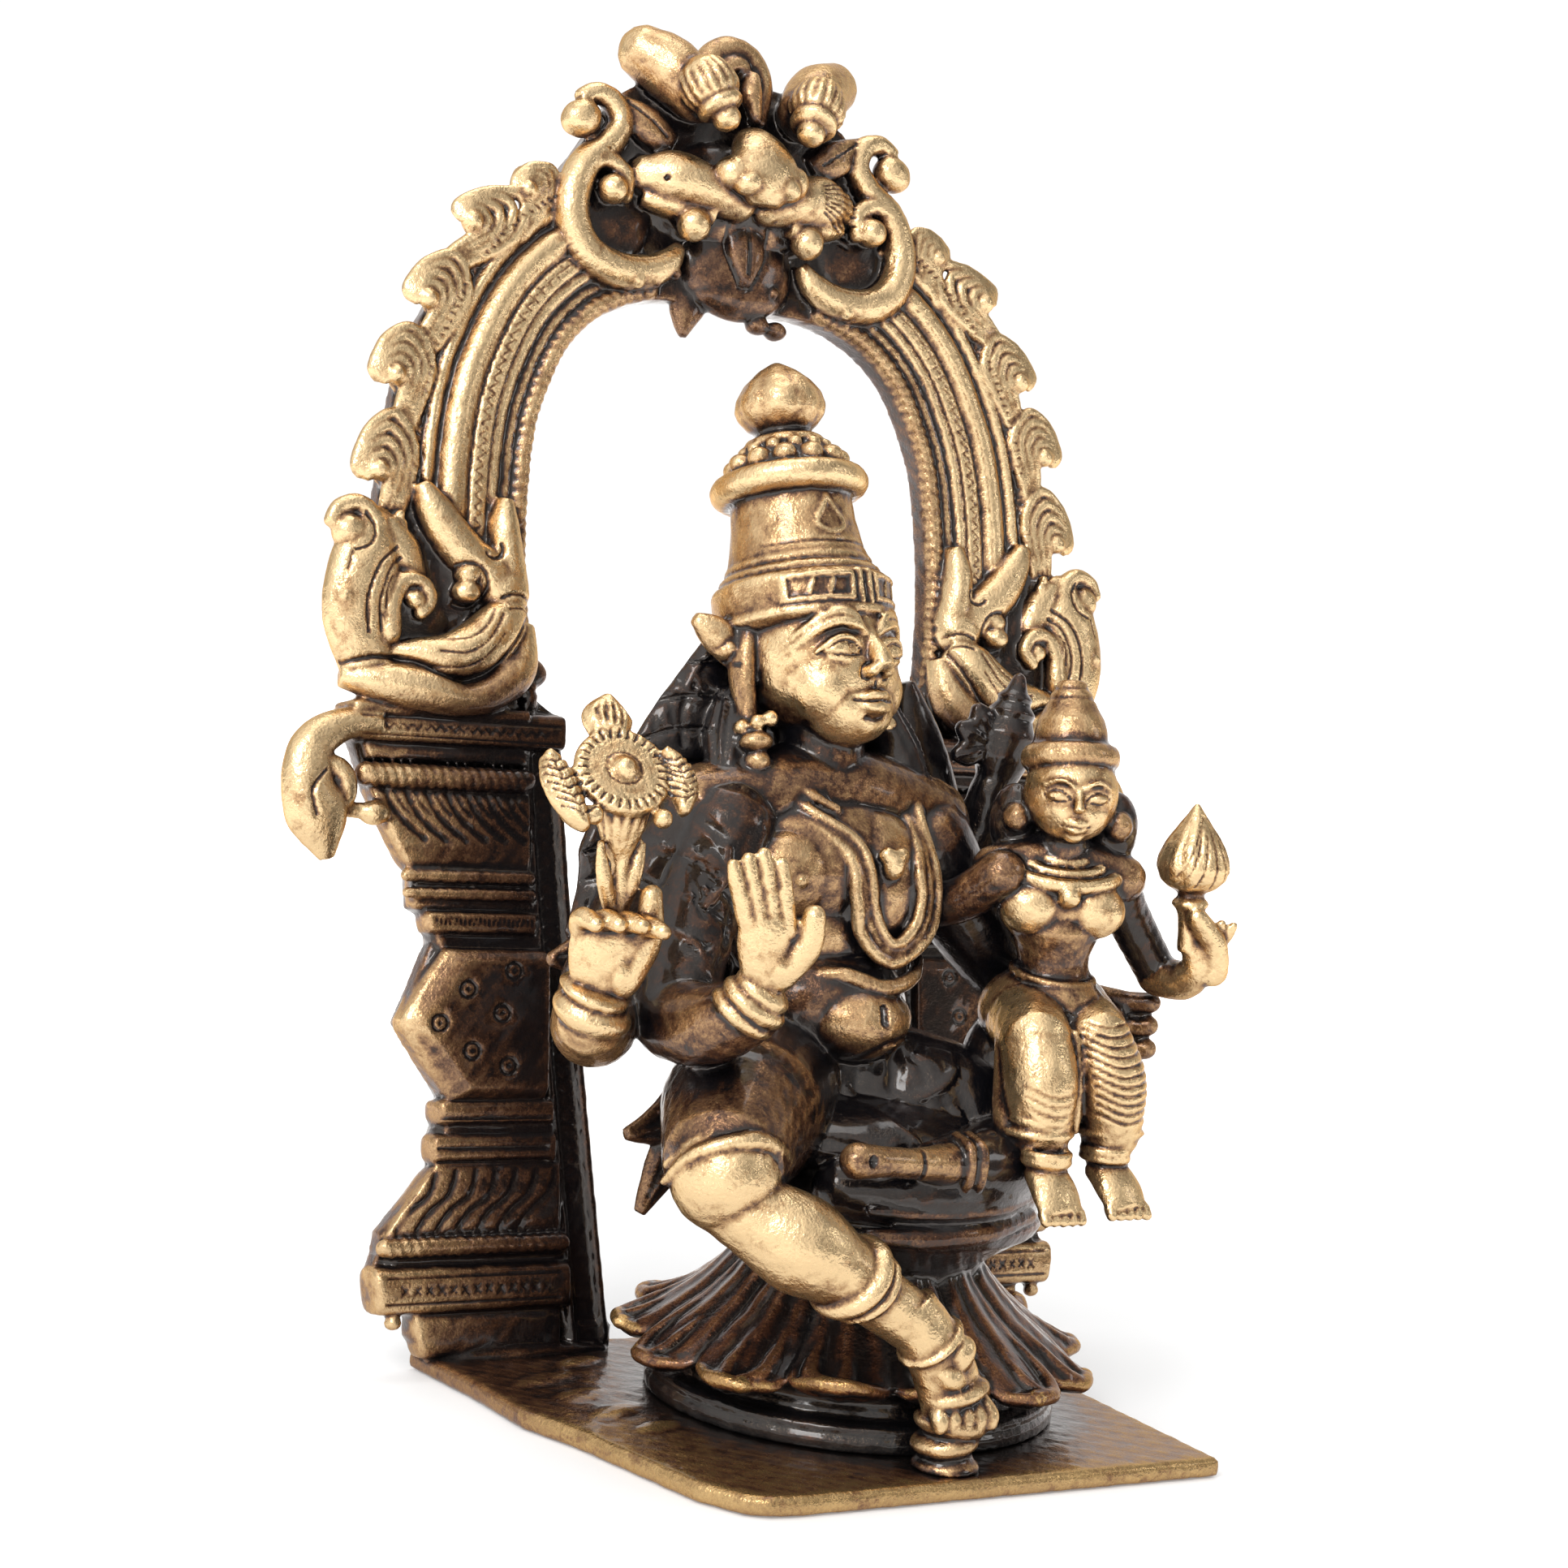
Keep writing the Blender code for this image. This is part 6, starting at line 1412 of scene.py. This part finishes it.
    # rear left arm, with the conch, and the front left arm round the goddess
    wax.tone = BLACK
    wax.tube([(6, 4, 44.4), (10.4, 6.0, 39), (13.0, 5.4, 43.4), (13.4, 4.6, 48)], [4.0, 3.2, 2.5, 1.8],
             sides=24)
    wax.turned(
        [(0, 10.8), (0.5, 10.4), (0.9, 9.2), (1.5, 8.6), (1.3, 8.2), (2.0, 7.4), (1.8, 6.9), (2.4, 5.6),
         (2.3, 3.4), (1.6, 1.4), (1.2, 0), (0, 0)], (13.4, 4.5, 47.0), (0, 9, 0),
    )
    for lean in (-14, 24, 60):
        a = math.radians(lean)
        out = Vector((-math.cos(a), 0, math.sin(a)))
        at = Vector((12.8, 4.3, 51.4))
        wax.blade([at + out * 1.0, at + out * 2.6, at + out * 3.9], [1.0, 1.2, 0.4], [0.7, 0.8, 0.4], TOWARD,
                  ribs=3, rib=0.2)
    wax.tone = BROWN - 0.1
    wax.tube([(5.6, 1.8, 43.6), (10.6, 0.8, 36.6), (17.0, 0.2, 31.4), (22.2, -1.8, 30.4)],
             [3.8, 3.3, 2.7, 2.1], sides=24)
    wax.tone = BROWN
    for k in range(3):
        z = 27.8 + 1.9 * k
        wax.tube([(21.0, -1.8, z + 0.4), (23.4, -3.0, z + 0.1), (24.8, -4.4, z + 0.3)], [1.0, 0.95, 0.85])


def narayana():
    wax = Wax(Matrix.Translation((0, 0, STAND_Z)) @ Matrix.Scale(UNIT, 4))
    narayana_legs(wax)
    narayana_body(wax)
    narayana_head(wax)
    narayana_arms(wax)
    return cast(wax, "narayana", material("antique_brass_cast", BRIGHT, 0.5))


def lakshmi_legs(wax):
    """Lap, pleated legs and feet."""
    x, y = LAKSHMI_AT
    lines = []
    wax.tone = BROWN + 0.12
    wax.ball((x, y + 0.8, 31.4), (5.6, 4.6, 3.9), fine=18)
    wax.tone = BLACK + 0.1
    wax.ball((x + 0.4, y + 2.4, 27.4), (6.2, 4.2, 5.2), fine=18)
    for side, knee, hem, foot in (
        (-1, (8.6, -11.4, 30.2), (8.4, -13.4, 23.4), (8.2, -14.8, 20.9)),
        (1, (14.2, -11.6, 30.2), (15.8, -12.4, 23.2), (15.4, -12.6, 20.6)),
    ):
        middle = ((knee[0] + hem[0]) / 2, -12.8, 27.0)
        wax.tone = GOLD - 0.06
        wax.tube([(x + side * 2.4, y, 31), knee], [3.2, 2.8], sides=26)
        wax.tube([knee, middle, hem], [2.7, 2.9, 2.4], sides=26)
        wax.ball((hem[0], hem[1] + 0.2, hem[2]), (2.9, 2.7, 0.65), fine=14)
        wax.ball((hem[0], hem[1] + 0.1, hem[2] + 1.0), (2.7, 2.6, 0.4), fine=14)
        for k in range(11 if side > 0 else 4):
            z = 24.4 + 0.72 * k
            at = lerp(hem[0], knee[0], (z - hem[2]) / (knee[2] - hem[2]))
            lines.append((curve([(at - 2.4, z + 0.5), (at - 0.4, z - 0.15), (at + 2.6, z + 0.35)], 5), 0.24,
                          0.15 if side > 0 else 0.06))
        wax.tube([hem, foot], [1.6, 1.4])
        toe = Vector((foot[0] + 0.4 + side * 0.3, foot[1] - 2.6, foot[2] - 3.0))
        wax.blade(
            [(foot[0], foot[1] + 0.4, foot[2]), (foot[0] + 0.2 + side * 0.2, foot[1] - 1.5, foot[2] - 1.5),
             toe],
            [1.6, 2.0, 1.9], [1.4, 1.1, 0.7], (0, -1, 1),
        )
        for k in range(5):
            root = toe + Vector((0.82 * (k - 2), 0.1, 0.1))
            wax.tube([root, root + Vector((0, -0.4, -0.5))], [0.48, 0.44])
        bangles(wax, Vector(foot) + Vector((0, 0, 0.9)), 1.75, (0, 0, 0), 2, 0.6, 0.3)
    wax.tone = BRONZE
    wax.blade([(11.4, -12.0, 31), (11.8, -12.6, 27), (12.2, -12.8, 23.0)], [1.2, 1.0, 0.3], [0.8, 0.8, 0.3],
              TOWARD, ribs=3, rib=0.25, sides=40)
    wax.tone = BROWN + 0.06
    wax.blade([(7.4, -9.4, 30), (6.6, -11.4, 26.6), (6.4, -12.6, 23.4), (7.0, -13.4, 22.0)],
              [1.0, 1.3, 1.4, 0.5], [0.7, 0.8, 0.8, 0.5], (-1, -0.8, 0))
    wax.blade([(17.6, -8, 29.6), (18.6, -9.4, 26), (18.8, -10.4, 22.6)], [2.2, 2.2, 0.6], [0.9, 0.9, 0.5],
              (1, -0.4, 0), ribs=3, rib=0.25, sides=40)
    wax.cut(lines, -17, -8.6)


def lakshmi_body(wax):
    """Body with its waist string, breasts and collar."""
    x, y = LAKSHMI_AT
    upright = wax.frame
    facing = Matrix.Translation((x, y, 0)) @ turn((0, 0, -22)) @ Matrix.Translation((-x, -y, 0))
    wax.frame = upright @ facing
    wax.tone = BRONZE - 0.14
    wax.tube([(x, y, 32.2), (x - 0.2, y, 35.4), (x - 0.3, y, 38)], [3.9, 2.8, 3.6], sides=26)
    wax.ball((x, y - 1.0, 32.4), (3.9, 3.6, 2.6), fine=18)
    ring = [(x - 0.2 + 3.2 * math.cos(a), y - 0.2 + 3.3 * math.sin(a), 34.6 - 0.5 * math.cos(a + 1.2))
            for a in [math.tau * k / 16 for k in range(17)]]
    wax.tube(ring, 0.3, steps=2)
    wax.tone = GOLD - 0.08
    wax.ball((x - 0.3, y, 40), (4.8, 3.4, 3.6), fine=18)
    for side in (-1, 1):
        wax.ball((x - 0.3 + side * 2.4, y - 1.7, 39.9), (2.6, 2.0, 2.2), fine=18)
    wax.tone = BROWN
    wax.tube([(x - 5.4, y + 0.4, 42.4), (x - 0.3, y + 0.6, 43.4), (x + 4.8, y + 0.4, 42.4)], [1.9, 2.3, 1.9],
             sides=24)
    wax.tube([(x - 0.3, y, 43), (x - 0.3, y - 0.2, 46.6)], [2.0, 1.9])
    wax.tone = GOLD
    for radius, height, thick in ((4.7, 43.0, 0.55), (3.8, 43.9, 0.35), (2.9, 44.6, 0.35)):
        ring = [(x - 0.3 + radius * math.cos(a), y + 0.8 + radius * 0.88 * math.sin(a),
                 height + 1.2 * math.sin(a))
                for a in [math.tau * k / 20 for k in range(21)]]
        wax.tube(ring, thick, steps=3)
    wax.ball((x - 0.3, y - 3.6, 41.0), (0.9, 0.8, 0.85))
    wax.frame = upright


def lakshmi_head(wax):
    """Head with its ear rings, hair and small crown, in a frame of its own."""
    x, y = LAKSHMI_AT
    upright = wax.frame
    wax.frame = upright @ Matrix.Translation((x - 0.4, y - 0.4, 48.8)) @ turn((0, 0, -26))
    wax.tone = GOLD - 0.05
    wax.ball((0, 0, 0), (3.7, 3.8, 3.8), fine=20)
    wax.ball((0, -1.2, -1.3), (3.0, 2.6, 2.4), fine=18)
    wax.ball((0, -2.6, -3.0), (0.9, 0.8, 0.7), fine=10)
    head = wax.frame
    wax.frame = head @ Matrix.Translation((0, -0.05, -0.45))
    wax.blade([(0, -3.5, 1.1), (0, -3.95, 0.2), (0, -4.45, -0.7)], [0.26, 0.3, 0.48], [0.3, 0.35, 0.45],
              TOWARD)
    face = []
    for side in (-1, 1):
        wax.ball((side * 1.55, -3.15, 0.35), (0.85, 0.55, 0.4), fine=10)
        wax.tube([(side * 0.5, -3.85, 1.2), (side * 1.5, -3.65, 1.65), (side * 2.8, -2.7, 1.1)],
                 [0.12, 0.17, 0.1], steps=6)
        face.append((curve([(side * 0.65, 0.25), (side * 1.3, 0.72), (side * 2.0, 0.7), (side * 2.6, 0.3)],
                           5), 0.12, 0.18))
        face.append((curve([(side * 0.7, 0.15), (side * 1.6, -0.08), (side * 2.4, 0.2)], 5), 0.11, 0.15))
        wax.tone = BROWN
        wax.ball((side * 4.0, 0.2, -1.8), (1.1, 1.2, 1.2))
        wax.tone = BLACK
        wax.ball((side * 4.0, 2.0, -2.2), (1.9, 2.0, 3.0))
        wax.tone = GOLD - 0.05
    wax.tube([(-0.95, -3.45, -1.75), (0, -3.85, -1.62), (0.95, -3.45, -1.75)], [0.12, 0.24, 0.12], steps=6)
    wax.tube([(-0.8, -3.4, -2.1), (0, -3.7, -2.2), (0.8, -3.4, -2.1)], [0.12, 0.24, 0.12], steps=6)
    face.append((curve([(-1.1, -1.85), (0, -1.93), (1.1, -1.85)], 5), 0.1, 0.18))
    wax.cut(face, -5.5, -1.5)
    wax.frame = head @ Matrix.Translation((0, 0, -0.6))
    wax.tone = BRONZE - 0.1
    wax.turned(
        [(0, 9.4), (0.9, 9.4), (1.2, 9.2), (1.3, 8.9), (1.2, 8.7), (1.5, 8.5), (1.7, 8.2), (1.6, 7.9),
         (1.9, 7.7), (2.0, 7.4), (2.2, 7.0), (2.6, 6.3), (2.85, 5.4), (2.9, 4.8), (3.0, 4.4), (3.5, 4.2),
         (3.8, 3.8), (3.9, 3.3), (3.8, 2.8), (3.5, 2.4), (0, 0)], (0, 0.3, 0), (-9, -3, 0),
    )
    wax.frame = upright


def lakshmi_arms(wax):
    """The right arm round the god's back, and the left arm with the lotus bud."""
    x, y = LAKSHMI_AT
    lines = []
    wax.tone = BROWN - 0.1
    wax.tube([(x - 5.6, y + 0.4, 42.2), (x - 7.4, y + 3.6, 39.6), (x - 9.4, y + 7, 39)], [1.9, 1.8, 1.8],
             sides=20)
    wax.tone = BLACK + 0.12
    wax.tube([(x + 5.0, y + 0.4, 42.2), (x + 8.2, y + 1.4, 38.4), (x + 11.0, y + 1.2, 34.6)],
             [1.9, 1.8, 1.7], sides=20)
    wax.tone = BRONZE
    wax.tube([(x + 11.0, y + 1.0, 34.4), (x + 11.6, y - 1.4, 34.4), (x + 11.6, y - 3.0, 35.4)],
             [1.7, 1.6, 1.4])
    wax.tone = GOLD
    hand(wax, (x + 11.7, y - 3.2, 34.8), (x + 11.9, y - 3.6, 38.0), (x + 11.9, y - 4.4, 39.4),
         (x + 10.2, y - 4.2, 39.8), (-0.9, 0.3, 0), 1.7, (0, 0, 0), 0.5)
    bud = (x + 10.4, y - 3.0, 38.9)
    wax.turned(
        [(0, 10.0), (0.4, 9.5), (1.0, 8.5), (1.7, 7.5), (2.3, 6.5), (2.7, 5.5), (2.8, 4.7), (2.5, 3.8),
         (1.9, 3.2), (1.1, 2.8), (1.0, 2.4), (1.4, 2.1), (1.5, 1.8), (1.1, 1.4), (0.9, 0.7), (0.8, -2),
         (0, -2)], bud, (0, -2, 0),
        lobes=11, depth=0.06, between=(3.0, 9.0),
    )
    for k in range(7):
        a = math.tau * k / 7
        mid = a + math.tau / 14
        lines.append((curve([
            (bud[0] + 2.9 * math.sin(mid), bud[2] + 3.4), (bud[0] + 2.6 * math.sin(mid) * 0.8, bud[2] + 5.6),
            (bud[0] + 0.3 * math.sin(mid), bud[2] + 8.8)], 6), 0.15, 0.16))
    wax.cut(lines, -17, -8.6)


def lakshmi():
    wax = Wax(Matrix.Translation((0, 0, STAND_Z)) @ Matrix.Scale(UNIT, 4))
    lakshmi_legs(wax)
    lakshmi_body(wax)
    lakshmi_head(wax)
    lakshmi_arms(wax)
    return cast(wax, "lakshmi", material("lakshmi_brass_cast", BRIGHT, 0.5), int(TRIANGLES * 0.75))


def plate():
    """The cut plate under it all, uneven where the solder ran, with filed edges."""
    low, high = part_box("base_plate")
    wax = Wax(Matrix.Scale(UNIT, 4))
    wax.tone = BROWN
    rear = high.y / UNIT
    front = low.y / UNIT
    wide = high.x / UNIT
    near = -(SEAT_RADIUS + 2.6)
    far = SEAT_RADIUS + 6.2
    outline = [
        (wide, rear), (-wide, rear), (-wide + 1.4, rear * 0.5),
        (lerp(near, -wide, 0.78), rear * 0.08), (lerp(near, -wide, 0.56), front * 0.18),
        (near - 3.6, front * 0.46), (near - 2.0, front * 0.78),
        (near, front * 0.94), (near + 1.6, front * 0.985), (near + 4.0, front),
        (far, front), (far, 0.1 * rear), (wide - 1.0, rear * 0.6),
    ]
    top = PLATE_TOP / UNIT
    rings = []
    for z, inset in ((0.06, 0.35), (0.3, 0.10), (0.7, 0.05), (top - 0.35, 0.08), (top - 0.05, 0.4)):
        rings.append([((1 - inset / 24) * x, (1 - inset / 20) * y, z) for x, y in outline])
    wax.loft(rings)
    # runs of solder on the left margin and round the feet
    wax.tone = BROWN + 0.08
    for x, y, a, b in ((-20.5, 8.5, 4.2, 1.6), (-19.6, 4.0, 3.4, 1.8), (-18.6, -0.4, 3.6, 1.5),
                       (-17.2, -4.6, 2.8, 1.3), (-15.6, 12.6, 3.0, 1.4), (20.4, 11.0, 3.2, 1.5)):
        wax.ball((x, y, top - 0.25), (a, b, 0.42), (0, 0, 24))

    def fade(points):
        """The rim in front and at the right is rubbed bright, and the patina stays dark round the seat."""
        away = np.clip((np.hypot(points[:, 0] - SEAT_OFFSET, points[:, 1]) - 16.5) / 5.5, 0, 1)
        ahead = np.clip((4 - points[:, 1]) / 8, 0, 1)
        return 0.84 + 0.48 * away * ahead

    return cast(wax, "plate", material("plate_brass_cast", PLATE, 0.6), int(TRIANGLES * 0.2),
                max(GRAIN, 0.00022), fade)


def ground():
    """A pale floor that glows a little more with distance, so that it has no horizon."""
    bpy.ops.mesh.primitive_plane_add(size=6, location=(0, 0, -0.00002))
    floor = bpy.context.object
    floor.name = "floor"
    pale = bpy.data.materials.new("floor_white")
    pale.use_nodes = True
    shader = pale.node_tree.nodes["Principled BSDF"]
    shader.inputs["Base Color"].default_value = (0.80, 0.80, 0.80, 1)
    shader.inputs["Roughness"].default_value = 0.8
    shader.inputs["Emission Color"].default_value = (1.0, 1.0, 1.0, 1)
    tree = pale.node_tree
    place = tree.nodes.new("ShaderNodeTexCoord")
    far = tree.nodes.new("ShaderNodeVectorMath")
    far.operation = "LENGTH"
    tree.links.new(place.outputs["Object"], far.inputs[0])
    glow = tree.nodes.new("ShaderNodeMapRange")
    glow.interpolation_type = "SMOOTHSTEP"
    glow.inputs["From Min"].default_value = 0.05
    glow.inputs["From Max"].default_value = 0.30
    glow.inputs["To Min"].default_value = 0.22
    glow.inputs["To Max"].default_value = 1.0
    tree.links.new(far.outputs["Value"], glow.inputs["Value"])
    tree.links.new(glow.outputs[0], shader.inputs["Emission Strength"])
    floor.data.materials.append(pale)


def studio():
    """A plain soft studio: a white sweep, a bright tent at the upper left, and three soft lamps."""
    bpy.context.scene.view_settings.view_transform = "Standard"
    world = bpy.data.worlds.new("studio")
    bpy.context.scene.world = world
    world.use_nodes = True
    tree = world.node_tree
    back = tree.nodes["Background"]
    where = tree.nodes.new("ShaderNodeTexCoord")
    glow = None
    # a white sweep behind, a bright tent at the upper left, and less light from the right
    for way, start, end, strength in (((0.5, 0.86, -0.05), 0.15, 0.75, 0.9),
                                      ((-0.62, -0.35, 0.62), 0.05, 0.97, 1.15)):
        dot = tree.nodes.new("ShaderNodeVectorMath")
        dot.operation = "DOT_PRODUCT"
        dot.inputs[1].default_value = Vector(way).normalized()
        tree.links.new(where.outputs["Generated"], dot.inputs[0])
        soft = tree.nodes.new("ShaderNodeMapRange")
        soft.interpolation_type = "SMOOTHSTEP"
        soft.inputs["From Min"].default_value = start
        soft.inputs["From Max"].default_value = end
        soft.inputs["To Min"].default_value = 0.0 if glow else 0.16
        soft.inputs["To Max"].default_value = strength if glow else 0.16 + strength
        tree.links.new(dot.outputs["Value"], soft.inputs["Value"])
        if glow is None:
            glow = soft.outputs[0]
        else:
            add = tree.nodes.new("ShaderNodeMath")
            tree.links.new(glow, add.inputs[0])
            tree.links.new(soft.outputs[0], add.inputs[1])
            glow = add.outputs[0]
    tree.links.new(glow, back.inputs["Strength"])
    back.inputs["Color"].default_value = (1.0, 1.0, 1.0, 1)
    for name, at, size, power in (
        ("key", (-0.42, -0.30, 0.42), 0.22, 1.6),
        ("side", (0.40, -0.30, 0.25), 0.12, 0.2),
        ("top", (0.05, 0.10, 0.60), 0.30, 0.7),
    ):
        lamp = bpy.data.lights.new(name, "AREA")
        lamp.shape = "SQUARE"
        lamp.size = size
        lamp.energy = power
        obj = bpy.data.objects.new(name, lamp)
        obj.location = at
        obj.rotation_euler = (Vector((0, 0, 0.05)) - Vector(at)).to_track_quat("-Z", "Y").to_euler()
        bpy.context.scene.collection.objects.link(obj)


def camera_at_viewpoint():
    """The camera at the photograph's viewpoint, which looks down a little, with a slight roll."""
    lens = bpy.data.cameras.new("camera")
    lens.lens = 65.2
    lens.sensor_width = 36.0
    lens.clip_start = 0.001
    camera = bpy.data.objects.new("camera", lens)
    right = Vector((0.862, -0.4984, 0.0922)).normalized()
    back_axis = Vector((-0.5047, -0.8609, 0.0645)).normalized()
    up = back_axis.cross(right).normalized()
    right = up.cross(back_axis)
    turned = Matrix((right, up, back_axis)).transposed().to_4x4()
    camera.matrix_world = Matrix.Translation((-0.11821, -0.18642, 0.06361)) @ turned
    bpy.context.scene.collection.objects.link(camera)
    bpy.context.scene.camera = camera


# Patina from black to bare metal: for the bright figures, the arch, the dark seat and the plate
BRIGHT = [
    (0.0, (0.006, 0.006, 0.008)), (0.24, (0.014, 0.010, 0.010)), (0.40, (0.070, 0.030, 0.017)),
    (0.54, (0.20, 0.105, 0.052)), (0.72, (0.43, 0.262, 0.125)), (0.94, (0.76, 0.545, 0.298)),
]
PATINATED = [
    (0.0, (0.007, 0.006, 0.007)), (0.22, (0.018, 0.011, 0.010)), (0.38, (0.085, 0.038, 0.021)),
    (0.52, (0.20, 0.105, 0.055)), (0.72, (0.43, 0.262, 0.127)), (0.94, (0.75, 0.540, 0.298)),
]
DARK = [
    (0.0, (0.006, 0.006, 0.007)), (0.24, (0.018, 0.011, 0.010)), (0.40, (0.095, 0.037, 0.020)),
    (0.56, (0.22, 0.10, 0.045)), (0.74, (0.44, 0.26, 0.10)), (0.94, (0.76, 0.50, 0.22)),
]
PLATE = [
    (0.0, (0.008, 0.007, 0.007)), (0.22, (0.035, 0.018, 0.013)), (0.40, (0.13, 0.058, 0.031)),
    (0.56, (0.27, 0.145, 0.065)), (0.74, (0.44, 0.28, 0.12)), (0.94, (0.70, 0.47, 0.21)),
]


def main():
    ground()
    studio()
    camera_at_viewpoint()
    made = [plate(), arch(), lotus_seat(), narayana(), lakshmi()]
    shade_in(made)
    nodes = ("base_plate", "prabhavali_arch", "lakshmi_narayana", "lakshmi_narayana", "lakshmi_narayana")
    slots = ("plate_brass", "patinated_brass", "antique_brass", "antique_brass", "antique_brass")
    for (obj, *_), node, slot in zip(made, nodes, slots):
        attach(obj, "root")
        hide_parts(node)


main()
